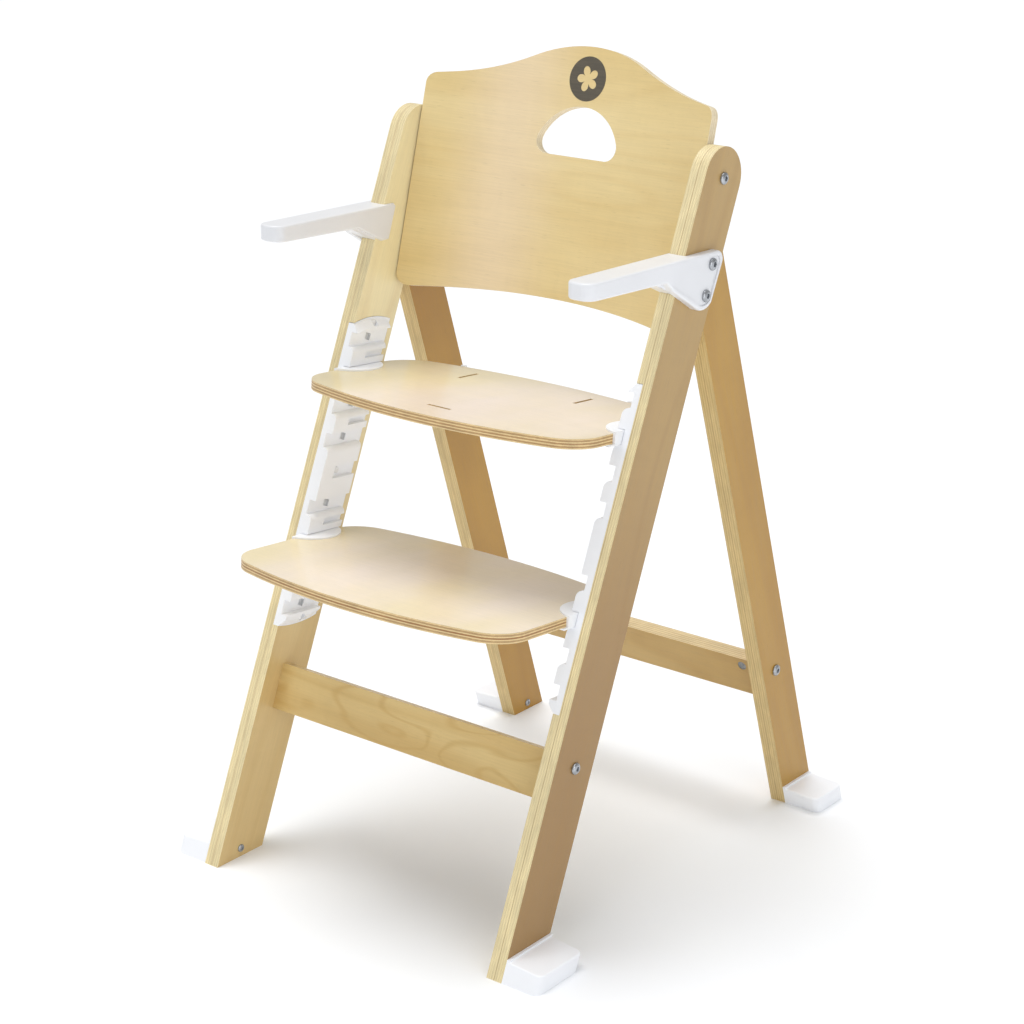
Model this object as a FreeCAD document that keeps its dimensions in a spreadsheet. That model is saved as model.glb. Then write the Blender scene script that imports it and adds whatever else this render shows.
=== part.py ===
import FreeCAD, Part

import math
import os
from types import SimpleNamespace

import Sketcher

# A child's wooden high chair.  Two leaning plywood frames, one each side, hold a curved
# backrest.  A seat and a footrest slide into grooved rails on the frames' inner faces.
# The chair faces -Y, its left-hand side is +X, and it stands on Z = 0.
# Pieces on a leg are drawn in that leg's own frame: Y across the leg's width from its
# front edge, Z up along the leg.  Left-hand pieces are drawn and then mirrored.

os.makedirs("parts", exist_ok=True)
doc = FreeCAD.newDocument("HighChair")

DRIVING_SIZES = {
    # leans and tilts, degrees
    "front_lean": 23.5,
    "rear_lean": 17.3,
    "board_tilt": 5.2,
    "back_lean": 15.4,
    # legs
    "leg_inner": 178.0,
    "leg_thick": 18.0,
    "front_leg_width": 60.0,
    "front_leg_reach": 781.0,
    "rear_leg_width": 50.0,
    "rear_foot": 486.0,
    # crossbars, in the frame of the legs that they join
    "front_bar_face": 22.5,
    "front_bar_thick": 18.0,
    "front_bar_low": 171.3,
    "front_bar_high": 218.6,
    "rear_bar_face": 14.0,
    "rear_bar_thick": 16.0,
    "rear_bar_low": 130.0,
    "rear_bar_high": 175.0,
    "bar_bolt_inset": 9.5,
    "bar_dowel_inset": 9.7,
    # height rails
    "rail_deep": 7.2,
    "rail_width": 53.0,
    "rail_low_front": 255.5,
    "rail_low_rear": 274.0,
    "rail_low_bend": 125.0,
    "rail_top_front": 573.7,
    "rail_top_rear": 590.5,
    "rail_top_bend": 88.0,
    "block_proud": 8.0,
    "block_width": 48.0,
    "cap_chamfer": 7.0,
    "block_round": 6.4,
    "groove_top": 564.7,
    "groove_pitch": 35.25,
    "groove_high": 15.0,
    "socket_middle": 25.5,
    "socket_wide": 7.5,
    "socket_high": 7.0,
    "socket_deep": 3.5,
    "core_start": 20.0,
    "core_high": 7.0,
    "long_core_start": 17.0,
    "long_core_high": 13.8,
    "core_floor": 176.0,
    # seat and footrest boards
    "board_thick": 10.0,
    "board_half": 175.0,
    "seat_front": 92.0,
    "seat_front_bend": 514.0,
    "seat_front_corner": 40.0,
    "seat_rear": 115.7,
    "seat_rear_bend": 650.0,
    "seat_rear_corner": 45.0,
    "step_front": 127.5,
    "step_front_bend": 594.0,
    "step_front_corner": 40.0,
    "step_rear": 97.0,
    "step_rear_bend": 736.0,
    "step_rear_corner": 40.0,
    "strap_slot_wide": 3.5,
    "side_slot_x": 73.5,
    "side_slot_front": 61.0,
    "side_slot_rear": 91.0,
    "front_slot_half": 14.0,
    "front_slot_y": -56.0,
    # board brackets
    "bracket_front": -12.0,
    "bracket_rear": 52.0,
    "bracket_gap": 0.4,
    "flange_thick": 1.7,
    "flange_bend": 33.3,
    "tab_front": -18.0,
    "tab_rear": -2.0,
    "tab_inner": 163.0,
    "tab_bolt_x": 170.0,
    "tab_bolt_y": -10.0,
    "bumper_x": 107.0,
    "bumper_wide": 6.0,
    "bumper_start": 107.4,
    "bumper_end": 111.4,
    "bumper_low": -4.0,
    "bumper_high": 6.0,
    # backrest
    "back_half": 176.5,
    "back_thick": 10.0,
    "back_bend": 453.0,
    "back_edge_y": 292.7,
    "back_edge_z": 564.7,
    "back_low": -10.0,
    "back_low_bend": 1075.0,
    "back_shoulder": 209.5,
    "shoulder_slope": 10.3,
    "back_corner": 12.0,
    "back_crown": 256.5,
    "crown_bend": 155.0,
    "crown_flare": 340.0,
    "hand_hole_low": 146.7,
    "hand_hole_middle": 144.5,
    "hand_hole_bend": 52.5,
    "hand_hole_corner": 13.0,
    # armrests
    "arm_inner": 175.0,
    "arm_outer": 205.0,
    "arm_tip": 120.0,
    "arm_top_tip": 645.9,
    "arm_top_fall": 0.0309,
    "arm_leg_gap": 0.25,
    "arm_low_tip": 629.4,
    "arm_low_fall": 0.0482,
    "arm_web_deep": 1.5,
    "arm_corner": 12.0,
    "cheek_start_y": 239.0,
    "cheek_knee_y": 249.0,
    "cheek_knee_z": 613.7,
    "cheek_low_y": 285.0,
    "cheek_low_z": 591.0,
    "cheek_low_bend": 20.0,
    "cheek_heel_y": 311.0,
    "cheek_heel_z": 591.5,
    "cheek_rear_y": 328.3,
    "cheek_rear_z": 627.1,
    "cheek_top_y": 319.0,
    "cheek_top_bend": 9.0,
    "saddle_start_y": 228.0,
    "saddle_low_z": 607.0,
    "saddle_top_y": 278.0,
    "ear_start_y": 236.5,
    "ear_knee_y": 253.0,
    "ear_knee_z": 615.0,
    "ear_low_y": 271.7,
    "ear_heel_y": 282.6,
    "ear_low_z": 604.5,
    "ear_rear_y": 294.5,
    "ear_rear_z": 637.5,
    "ear_top_y": 291.5,
    "web_front_y": 247.0,
    "web_front_z": 619.0,
    "web_knee_y": 252.5,
    "web_knee_z": 615.6,
    "web_low_y": 287.0,
    "web_heel_y": 308.0,
    "web_low_z": 594.6,
    "web_low_bend": 16.5,
    "web_rear_y": 323.6,
    "web_rear_z": 627.5,
    "web_top_y": 317.5,
    "web_top_z": 635.5,
    "web_top_bend": 6.0,
    "web_front_top_z": 636.5,
    "arm_round": 2.5,
    # foot pads
    "pad_outer": 238.0,
    "pad_high": 21.0,
    "pad_corner": 8.0,
    "pad_lip": 3.0,
    "pad_step": 1.5,
    "pad_fall": 4.0,
    "pad_round": 2.0,
    # fasteners
    "bolt_head": 12.0,
    "bolt_head_high": 3.4,
    "bolt_socket": 4.6,
    "bolt_shank": 6.0,
    "thin_shank": 4.0,
    "play": 0.4,
    "nut_wide": 10.0,
    "nut_long": 14.0,
    "nut_inset": 19.0,
    "dowel_wide": 8.0,
    "dowel_half": 14.0,
    "leg_dowel_half": 11.0,
    "leg_joint_reach": 682.0,
    "leg_dowel_low": 657.0,
    "leg_dowel_high": 699.0,
    "leg_nut_depth": 17.0,
    "leg_bolt_sink": 6.0,
    "back_bolt_end": 170.0,
    "back_pin_wide": 6.0,
    "back_pin_end": 189.0,
    "back_pin_y": 48.2,
    "back_pin_z": 648.0,
    "arm_bolt_high_y": 36.1,
    "arm_bolt_high_z": 700.6,
    "arm_bolt_low_y": 37.9,
    "arm_bolt_low_z": 670.4,
    "arm_bolt_end": 186.5,
    "insert_wide": 9.0,
    "insert_low": 186.0,
    "insert_high": 195.8,
    "screw_head": 7.0,
    "screw_head_high": 1.8,
    "screw_shank": 4.0,
    "screw_end": 193.0,
    "foot_screw_y": 28.0,
    "foot_screw_z": 22.0,
    "rear_foot_screw_y": 25.4,
    "rear_foot_screw_z": 0.8,
    "foot_screw_end": 214.0,
}

AXIS_X = FreeCAD.Vector(1, 0, 0)
AXIS_Y = FreeCAD.Vector(0, 1, 0)
AXIS_Z = FreeCAD.Vector(0, 0, 1)
PLANE_OF_AXIS = {"x": "YZ_Plane", "y": "XZ_Plane", "z": "XY_Plane"}
GROOVES = (0, 1, 2, 3, 5, 6, 7, 8)
SEAT_GROOVE = 1
STEP_GROOVE = 6


class Size:
    """A number together with the sheet expression that gives it."""

    def __init__(self, value, text):
        self.value = float(value)
        self.text = text

    def __add__(self, other):
        other = as_size(other)
        return Size(self.value + other.value, f"({self.text} + {other.text})")

    def __sub__(self, other):
        other = as_size(other)
        return Size(self.value - other.value, f"({self.text} - {other.text})")

    def __mul__(self, other):
        other = as_size(other)
        return Size(self.value * other.value, f"({self.text} * {other.text})")

    def __truediv__(self, other):
        other = as_size(other)
        return Size(self.value / other.value, f"({self.text} / {other.text})")

    def __neg__(self):
        return Size(-self.value, f"(0 - {self.text})")

    def __radd__(self, other):
        return as_size(other) + self

    def __rsub__(self, other):
        return as_size(other) - self

    def __rmul__(self, other):
        return as_size(other) * self


def as_size(number):
    if isinstance(number, Size):
        return number
    return Size(number, f"({float(number)!r})")


def root(number):
    return Size(math.sqrt(number.value), f"sqrt({number.text})")


def sine(angle):
    return Size(math.sin(math.radians(angle.value)), f"sin({angle.text})")


def cosine(angle):
    return Size(math.cos(math.radians(angle.value)), f"cos({angle.text})")


def tangent(angle):
    return Size(math.tan(math.radians(angle.value)), f"tan({angle.text})")


def make_sheet():
    """Write the driving sizes to a spreadsheet and return them by name."""
    sheet = doc.addObject("Spreadsheet::Sheet", "Sizes")
    named = {}
    for row, (alias, value) in enumerate(DRIVING_SIZES.items(), start=1):
        sheet.set(f"A{row}", alias)
        sheet.set(f"B{row}", str(value))
        sheet.setAlias(f"B{row}", alias)
        named[alias] = Size(value, f"Sizes.{alias}")
    doc.recompute()
    return SimpleNamespace(**named)


dim = make_sheet()

# Sizes that several pieces share.
leg_outer = dim.leg_inner + dim.leg_thick
leg_middle = dim.leg_inner + dim.leg_thick / 2
half_depth = (dim.rear_foot + dim.rear_leg_width / cosine(dim.rear_lean)) / 2
leg_angle = dim.front_lean + dim.rear_lean
groove_rise = tangent(dim.front_lean - dim.board_tilt)
rail_back = dim.leg_inner + dim.rail_deep
block_face = dim.leg_inner - dim.block_proud
board_top = dim.board_thick / 2
front_bar_middle = dim.front_bar_face + dim.front_bar_thick / 2
rear_bar_middle = dim.rear_bar_face + dim.rear_bar_thick / 2
front_bolt_z = dim.front_bar_high - dim.bar_bolt_inset
front_dowel_z = dim.front_bar_low + dim.bar_dowel_inset
rear_bolt_z = dim.rear_bar_high - dim.bar_bolt_inset
rear_dowel_z = dim.rear_bar_low + dim.bar_dowel_inset
arm_bolt_spots = (
    (dim.arm_bolt_high_y, dim.arm_bolt_high_z),
    (dim.arm_bolt_low_y, dim.arm_bolt_low_z),
)
leg_top_spot = (dim.front_leg_width / 2, dim.front_leg_reach)
back_pin_spot = (dim.back_pin_y, dim.back_pin_z)
pieces = []
cuts = []


def bind(thing, sizes):
    for path, value in sizes.items():
        thing.setExpression(path, as_size(value).text)


def publish(thing, label):
    """Give a finished sub-part its name and list it for export."""
    thing.Label = label
    pieces.append(thing)
    return thing


# ---- frames -----------------------------------------------------------------------------


def stand(thing, axis, angle, y, z):
    """Turn a piece's own frame about the X axis and move its origin to (0, y, z)."""
    y = as_size(y)
    z = as_size(z)
    angle = as_size(angle)
    base = FreeCAD.Vector(0, y.value, z.value)
    thing.Placement = FreeCAD.Placement(base, FreeCAD.Rotation(axis, angle.value))
    bind(thing, {
        "Placement.Rotation.Angle": angle,
        "Placement.Base.y": y,
        "Placement.Base.z": z,
    })
    return thing


def in_chair(thing):
    """Y from the front leg's foot, Z up."""
    return stand(thing, AXIS_X, 0, -half_depth, 0)


def in_front_leg(thing):
    """Y across the front leg, Z up along it."""
    return stand(thing, -AXIS_X, dim.front_lean, -half_depth, 0)


def in_rear_leg(thing):
    """Y across the rear leg, Z up along it."""
    return stand(thing, AXIS_X, dim.rear_lean, dim.rear_foot - half_depth, 0)


def in_groove(thing, groove):
    """Y back along a groove from the legs' front edge, Z up from the groove's middle."""
    reach = dim.groove_top - dim.groove_high / 2 - groove * dim.groove_pitch
    y = reach * sine(dim.front_lean) - half_depth
    z = reach * cosine(dim.front_lean)
    return stand(thing, -AXIS_X, dim.board_tilt, y, z)


def in_backrest(thing):
    """Y straight back from the middle of the backrest's front face, Z up along it."""
    bow = dim.back_bend - root(dim.back_bend * dim.back_bend - dim.back_half * dim.back_half)
    y = dim.back_edge_y + bow * cosine(dim.back_lean) - half_depth
    z = dim.back_edge_z - bow * sine(dim.back_lean)
    return stand(thing, -AXIS_X, dim.back_lean, y, z)


# ---- sketched bodies --------------------------------------------------------------------


def arc_between(start, end, bend):
    """The shorter arc from start to end; its centre is on the left where bend is positive."""
    chord = end - start
    middle = (start + end) * 0.5
    radius = abs(bend)
    reach = math.sqrt(max(radius ** 2 - (chord.Length / 2) ** 2, 0.0))
    left = FreeCAD.Vector(-chord.y, chord.x, 0).normalize()
    centre = middle + left * math.copysign(reach, bend)
    from_point, to_point = (start, end) if bend > 0 else (end, start)
    first = math.atan2(from_point.y - centre.y, from_point.x - centre.x)
    last = math.atan2(to_point.y - centre.y, to_point.x - centre.x)
    if last < first:
        last += 2 * math.pi
    return Part.ArcOfCircle(Part.Circle(centre, AXIS_Z, radius), first, last)


def pin_point(sketch, index, end, corner):
    """Constraints that hold a point at two coordinates from the sketch's origin."""
    across, up = as_size(corner[0]), as_size(corner[1])
    rules = [
        Sketcher.Constraint("DistanceX", -1, 1, index, end, across.value),
        Sketcher.Constraint("DistanceY", -1, 1, index, end, up.value),
    ]
    across_index, up_index = sketch.addConstraint(rules)
    bind(sketch, {f"Constraints[{across_index}]": across, f"Constraints[{up_index}]": up})


def pin_radius(sketch, index, radius):
    rule = Sketcher.Constraint("Radius", index, abs(radius.value))
    number = sketch.addConstraint(rule)
    bind(sketch, {f"Constraints[{number}]": radius if radius.value > 0 else -radius})


def draw_circle(sketch, centre, diameter):
    radius = as_size(diameter) / 2
    point = FreeCAD.Vector(as_size(centre[0]).value, as_size(centre[1]).value, 0)
    index = sketch.addGeometry(Part.Circle(point, AXIS_Z, radius.value))
    pin_point(sketch, index, 3, centre)
    pin_radius(sketch, index, radius)


def draw_loop(sketch, corners):
    """A closed outline.  A corner with a third number starts an arc of that radius."""
    points = [FreeCAD.Vector(as_size(c[0]).value, as_size(c[1]).value, 0) for c in corners]
    ends = []
    for place, corner in enumerate(corners):
        start = points[place]
        end = points[(place + 1) % len(points)]
        if len(corner) == 2:
            index = sketch.addGeometry(Part.LineSegment(start, end))
            ends.append((index, 1, 2))
        else:
            bend = as_size(corner[2])
            index = sketch.addGeometry(arc_between(start, end, bend.value))
            ends.append((index, 1, 2) if bend.value > 0 else (index, 2, 1))
    for place, (index, start_end, _) in enumerate(ends):
        before, _, before_end = ends[place - 1]
        joined = Sketcher.Constraint("Coincident", before, before_end, index, start_end)
        sketch.addConstraint(joined)
        pin_point(sketch, index, start_end, corners[place])
        if len(corners[place]) == 3:
            pin_radius(sketch, index, as_size(corners[place][2]))


def new_body(name):
    return doc.addObject("PartDesign::Body", name)


def new_sketch(body, axis, level):
    """A sketch square to one axis of the body, at a level along it."""
    sketch = body.newObject("Sketcher::SketchObject", f"{body.Name}_sketch")
    role = PLANE_OF_AXIS[axis]
    plane = next(item for item in body.Origin.OriginFeatures if item.Role == role)
    sketch.AttachmentSupport = (plane, "")
    sketch.MapMode = "FlatFace"
    level = as_size(level)
    bind(sketch, {"AttachmentOffset.Base.z": -level if axis == "y" else level})
    return sketch


def draw_all(sketch, loops, circles):
    for corners in loops:
        draw_loop(sketch, corners)
    for centre, diameter in circles:
        draw_circle(sketch, centre, diameter)


def pad(body, axis, low, high, loops=(), circles=()):
    """Add a prism between two levels along an axis."""
    low, high = as_size(low), as_size(high)
    sketch = new_sketch(body, axis, high if axis == "y" else low)
    draw_all(sketch, loops, circles)
    feature = body.newObject("PartDesign::Pad", f"{body.Name}_pad")
    feature.Profile = sketch
    bind(feature, {"Length": high - low})
    return feature


def pocket(body, axis, low, high, loops=(), circles=()):
    """Cut a prism between two levels along an axis."""
    low, high = as_size(low), as_size(high)
    sketch = new_sketch(body, axis, low if axis == "y" else high)
    draw_all(sketch, loops, circles)
    feature = body.newObject("PartDesign::Pocket", f"{body.Name}_pocket")
    feature.Profile = sketch
    bind(feature, {"Length": high - low})
    cuts.append(feature)
    return feature


def chosen_edges(body, wanted):
    """The body's last feature and the names of its edges that the test accepts."""
    doc.recompute()
    base = body.Tip
    names = [f"Edge{n}" for n, edge in enumerate(base.Shape.Edges, start=1) if wanted(edge)]
    return base, names


def round_edges(body, radius, wanted):
    edges = chosen_edges(body, wanted)
    fillet = body.newObject("PartDesign::Fillet", f"{body.Name}_fillet")
    fillet.Base = edges
    bind(fillet, {"Radius": radius})
    return fillet


def bevel_edges(body, size, wanted):
    edges = chosen_edges(body, wanted)
    chamfer = body.newObject("PartDesign::Chamfer", f"{body.Name}_chamfer")
    chamfer.Base = edges
    bind(chamfer, {"Size": size})
    return chamfer


def lies_at(edge, **levels):
    """True if every point sampled on the edge has the given coordinates."""
    first, last = edge.ParameterRange
    points = [edge.valueAt(first + (last - first) * part) for part in (0, 0.5, 1)]
    return all(
        abs(getattr(point, axis) - as_size(level).value) < 0.01
        for axis, level in levels.items() for point in points
    )


def rectangle(low, high):
    """Corners of a rectangle from its low corner to its high corner."""
    return [low, (high[0], low[1]), high, (low[0], high[1])]


def lean_strip(start, end, low, high, rise):
    """A strip between two widths whose lower and upper sides both climb at the rise."""
    return [
        (start, low + start * rise),
        (end, low + end * rise),
        (end, high + end * rise),
        (start, high + start * rise),
    ]


# ---- solid primitives -------------------------------------------------------------------


TURN_TO_AXIS = {
    "x": FreeCAD.Rotation(AXIS_Y, 90),
    "y": FreeCAD.Rotation(AXIS_X, -90),
    "z": FreeCAD.Rotation(),
}


def set_along(solid, axis, low, centre):
    """Stand a primitive along an axis, from a level, about the other two coordinates."""
    others = [name for name in "xyz" if name != axis]
    base = {axis: as_size(low), others[0]: as_size(centre[0]), others[1]: as_size(centre[1])}
    vector = FreeCAD.Vector(base["x"].value, base["y"].value, base["z"].value)
    solid.Placement = FreeCAD.Placement(vector, TURN_TO_AXIS[axis])
    bind(solid, {f"Placement.Base.{name}": value for name, value in base.items()})


def rod(name, axis, low, high, centre, diameter):
    cylinder = doc.addObject("Part::Cylinder", name)
    set_along(cylinder, axis, low, centre)
    bind(cylinder, {"Radius": as_size(diameter) / 2, "Height": as_size(high) - low})
    return cylinder


def hexagon(name, axis, low, high, centre, circumradius):
    prism = doc.addObject("Part::Prism", name)
    prism.Polygon = 6
    set_along(prism, axis, low, centre)
    bind(prism, {"Circumradius": circumradius, "Height": as_size(high) - low})
    return prism


def cut(name, base, tool):
    result = doc.addObject("Part::Cut", name)
    result.Base = base
    result.Tool = tool
    return result


def fuse(name, shapes):
    result = doc.addObject("Part::MultiFuse", name)
    result.Shapes = shapes
    return result


def group(name, shapes):
    result = doc.addObject("Part::Compound", name)
    result.Links = shapes
    return result


def mirrored(source, label):
    """The right-hand twin of a left-hand piece."""
    twin = doc.addObject("Part::Mirroring", label)
    twin.Source = source
    twin.Normal = AXIS_X
    return twin


def both_sides(label, solids):
    """One node that holds loose pieces and their mirror images."""
    twins = [mirrored(solid, f"{label}_twin") for solid in solids]
    return publish(group(label, list(solids) + twins), label)


def pair(source, stem):
    """Publish a left-hand piece and its right-hand twin."""
    publish(source, f"{stem}_left")
    publish(mirrored(source, f"{stem}_right"), f"{stem}_right")


def button_bolt(name, axis, face, tip, centre, head, head_high, shank):
    """A bolt whose button head sits on a face and whose shank runs to its tip."""
    face, tip = as_size(face), as_size(tip)
    if tip.value < face.value:
        shank_span, head_span = (tip, face), (face, face + head_high)
        socket_span = (face + head_high / 2, face + head_high * 2)
    else:
        shank_span, head_span = (face, tip), (face - head_high, face)
        socket_span = (face - head_high * 2, face - head_high / 2)
    body = fuse(f"{name}_body", [
        rod(f"{name}_shank", axis, *shank_span, centre, shank),
        rod(f"{name}_head", axis, *head_span, centre, head),
    ])
    socket = hexagon(f"{name}_socket", axis, *socket_span, centre, dim.bolt_socket / 2)
    return cut(name, body, socket)


def barrel_nut(name, axis, low, high, centre, hole_axis, hole_centre):
    """A cross dowel nut: a short rod with the bolt's hole through its side."""
    blank = rod(f"{name}_blank", axis, low, high, centre, dim.nut_wide)
    reach = dim.pad_outer
    hole = rod(f"{name}_hole", hole_axis, 0, reach, hole_centre, dim.bolt_shank + dim.play)
    return cut(name, blank, hole)


# ---- legs -------------------------------------------------------------------------------


def rail_outline(front, grow):
    """Outline of the height rail's plate; both ends are gentle arches."""
    rear = dim.rail_width + grow
    return [
        (front, dim.rail_low_front - grow, dim.rail_low_bend),
        (rear, dim.rail_low_rear - grow),
        (rear, dim.rail_top_rear + grow, dim.rail_top_bend),
        (front, dim.rail_top_front + grow),
    ]


def leg_joint_tools():
    """The holes that the leg joint's bolt, nut and dowels need, in the front leg's frame."""
    width = dim.front_leg_width
    bolt_hole = dim.bolt_shank + dim.play
    nut_spot = (width + dim.leg_nut_depth, dim.leg_joint_reach)
    tools = [
        rod("joint_bolt_hole", "y", width, width + dim.leg_nut_depth * 1.6,
            (leg_middle, dim.leg_joint_reach), bolt_hole),
        rod("joint_nut_hole", "x", dim.leg_inner - 1, dim.leg_inner + dim.nut_long + 0.5,
            nut_spot, dim.nut_wide + dim.play / 2),
    ]
    for reach in (dim.leg_dowel_low, dim.leg_dowel_high):
        tools.append(rod("joint_dowel_hole", "y", width, width + dim.leg_dowel_half + 0.5,
                         (leg_middle, reach), dim.dowel_wide + dim.play / 2))
    return in_front_leg(group("joint_holes", tools))


def screw_spots():
    """Where each height rail is screwed to its leg: bottom, middle and top."""
    middle = dim.socket_middle
    level = dim.groove_top - dim.groove_high / 2 + middle * groove_rise
    return (
        (middle, (dim.rail_low_front + dim.groove_top - 8 * dim.groove_pitch) / 2),
        (middle, level - 4 * dim.groove_pitch),
        (middle, dim.rail_top_front + dim.screw_head),
    )


def make_front_legs():
    width = dim.front_leg_width
    top = dim.front_leg_reach
    leg = new_body("front_leg")
    pad(leg, "x", dim.leg_inner, leg_outer, [[
        (0, 0),
        (width, width * tangent(dim.front_lean)),
        (width, top, width / 2),
        (width / 2, top + width / 2, width / 2),
        (0, top),
    ]])
    pocket(leg, "x", dim.leg_inner, rail_back, [rail_outline(-1, 0.15)])
    through = [
        ((front_bar_middle, front_bolt_z), dim.bolt_shank + dim.play),
        ((dim.foot_screw_y, dim.foot_screw_z), dim.screw_shank + dim.play),
        (leg_top_spot, dim.thin_shank + dim.play),
    ]
    pocket(leg, "x", dim.leg_inner, leg_outer, circles=through)
    pocket(leg, "x", dim.insert_low - 0.5, leg_outer, circles=[
        (spot, dim.insert_wide + dim.play / 2) for spot in arm_bolt_spots
    ])
    pocket(leg, "x", dim.leg_inner, dim.back_pin_end + 0.5, circles=[
        (back_pin_spot, dim.back_pin_wide + dim.play / 2),
    ])
    pocket(leg, "x", dim.leg_inner, dim.leg_inner + dim.dowel_half + 0.5, circles=[
        ((front_bar_middle, front_dowel_z), dim.dowel_wide + dim.play / 2),
    ])
    pocket(leg, "x", rail_back, dim.screw_end + 0.5, circles=[
        (spot, dim.screw_shank + dim.play / 2) for spot in screw_spots()
    ])
    joint = (leg_middle, dim.leg_joint_reach)
    pocket(leg, "y", 0, width, circles=[(joint, dim.bolt_shank + dim.play)])
    pocket(leg, "y", 0, dim.leg_bolt_sink, circles=[(joint, dim.bolt_head + dim.play)])
    pocket(leg, "y", width - dim.leg_dowel_half - 0.5, width, circles=[
        ((leg_middle, reach), dim.dowel_wide + dim.play / 2)
        for reach in (dim.leg_dowel_low, dim.leg_dowel_high)
    ])
    pair(in_front_leg(leg), "front_leg")


def make_rear_legs():
    """Each rear leg ends in a slanting cut that lies along the front leg's rear edge."""
    width = dim.rear_leg_width
    top = (dim.rear_foot * cosine(dim.front_lean) - dim.front_leg_width) / sine(leg_angle)
    leg = new_body("rear_leg")
    pad(leg, "x", dim.leg_inner, leg_outer, [[
        (0, 0),
        (width, -(width * tangent(dim.rear_lean))),
        (width, top + width / tangent(leg_angle)),
        (0, top),
    ]])
    pocket(leg, "x", dim.leg_inner, leg_outer, circles=[
        ((rear_bar_middle, rear_bolt_z), dim.bolt_shank + dim.play),
        ((dim.rear_foot_screw_y, dim.rear_foot_screw_z), dim.screw_shank + dim.play),
    ])
    pocket(leg, "x", dim.leg_inner, dim.leg_inner + dim.dowel_half + 0.5, circles=[
        ((rear_bar_middle, rear_dowel_z), dim.dowel_wide + dim.play / 2),
    ])
    in_rear_leg(leg)
    pair(cut("rear_leg_drilled", leg, leg_joint_tools()), "rear_leg")


# ---- crossbars --------------------------------------------------------------------------


def make_crossbar(label, stand_in, face, thick, low, high, bolt_z, dowel_z, nut_hole):
    """A straight bar between the legs' inner faces, bolted and dowelled at each end."""
    middle = face + thick / 2
    bar = new_body(label)
    pad(bar, "x", -dim.leg_inner, dim.leg_inner, [rectangle((face, low), (face + thick, high))])
    bolt_end = dim.leg_inner - dim.nut_inset - dim.nut_wide
    dowel_end = dim.leg_inner - dim.dowel_half - 0.5
    for depth, spot, wide in (
        (bolt_end, bolt_z, dim.bolt_shank + dim.play),
        (dowel_end, dowel_z, dim.dowel_wide + dim.play / 2),
    ):
        pocket(bar, "x", depth, dim.leg_inner, circles=[((middle, spot), wide)])
        pocket(bar, "x", -dim.leg_inner, -depth, circles=[((middle, spot), wide)])
    nut_x = dim.leg_inner - dim.nut_inset
    pocket(bar, "y", *nut_hole, circles=[
        ((nut_x, bolt_z), dim.nut_wide + dim.play / 2),
        ((-nut_x, bolt_z), dim.nut_wide + dim.play / 2),
    ])
    publish(stand_in(bar), label)


def make_crossbars():
    front_back = dim.front_bar_face + dim.front_bar_thick
    rear_front = dim.rear_bar_face
    make_crossbar("front_crossbar", in_front_leg, dim.front_bar_face, dim.front_bar_thick,
                  dim.front_bar_low, dim.front_bar_high, front_bolt_z, front_dowel_z,
                  (front_back - dim.nut_long - 1, front_back))
    make_crossbar("rear_crossbar", in_rear_leg, dim.rear_bar_face, dim.rear_bar_thick,
                  dim.rear_bar_low, dim.rear_bar_high, rear_bolt_z, rear_dowel_z,
                  (rear_front, rear_front + dim.nut_long + 1))


def make_crossbar_hardware():
    """A bolt, a barrel nut and a dowel at each of the four crossbar ends."""
    tip = dim.leg_inner - dim.nut_inset - dim.nut_wide * 0.7
    nut_x = dim.leg_inner - dim.nut_inset
    front_back = dim.front_bar_face + dim.front_bar_thick
    rows = (
        ("front", in_front_leg, front_bar_middle, front_bolt_z, front_dowel_z,
         front_back - dim.nut_long - 0.5),
        ("rear", in_rear_leg, rear_bar_middle, rear_bolt_z, rear_dowel_z,
         dim.rear_bar_face + 0.5),
    )
    bolts, nuts, dowels = [], [], []
    for row, stand_in, middle, bolt_z, dowel_z, nut_low in rows:
        bolts.append(stand_in(group(f"{row}_bar_bolt_set", [
            button_bolt(f"{row}_bar_bolt", "x", leg_outer, tip, (middle, bolt_z),
                        dim.bolt_head, dim.bolt_head_high, dim.bolt_shank)])))
        nuts.append(stand_in(group(f"{row}_bar_nut_set", [
            barrel_nut(f"{row}_bar_nut", "y", nut_low, nut_low + dim.nut_long,
                       (nut_x, bolt_z), "x", (middle, bolt_z))])))
        dowels.append(stand_in(group(f"{row}_bar_dowel_set", [
            rod(f"{row}_bar_dowel", "x", dim.leg_inner - dim.dowel_half,
                dim.leg_inner + dim.dowel_half, (middle, dowel_z), dim.dowel_wide)])))
    both_sides("crossbar_bolts", bolts)
    both_sides("crossbar_barrel_nuts", nuts)
    both_sides("crossbar_dowels", dowels)


def make_leg_joint_hardware():
    """A long bolt through each front leg's width holds the rear leg's slanting end."""
    width = dim.front_leg_width
    nut_y = width + dim.leg_nut_depth
    spot = (leg_middle, dim.leg_joint_reach)
    bolt = button_bolt("leg_bolt", "y", dim.leg_bolt_sink, nut_y + dim.nut_wide * 0.7, spot,
                       dim.bolt_head, dim.bolt_head_high, dim.bolt_shank)
    nut_low = dim.leg_inner + 0.3
    blank = rod("leg_nut_blank", "x", nut_low, nut_low + dim.nut_long,
                (nut_y, dim.leg_joint_reach), dim.nut_wide)
    hole = rod("leg_nut_hole", "y", 0, nut_y * 2, spot, dim.bolt_shank + dim.play)
    dowels = [
        rod("leg_dowel", "y", width - dim.leg_dowel_half, width + dim.leg_dowel_half,
            (leg_middle, reach), dim.dowel_wide)
        for reach in (dim.leg_dowel_low, dim.leg_dowel_high)
    ]
    both_sides("leg_joint_bolts", [in_front_leg(group("leg_bolt_set", [bolt]))])
    both_sides("leg_joint_barrel_nuts",
               [in_front_leg(group("leg_nut_set", [cut("leg_nut", blank, hole)]))])
    both_sides("leg_joint_dowels", [in_front_leg(group("leg_dowel_set", dowels))])


# ---- height rails -----------------------------------------------------------------------


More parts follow.
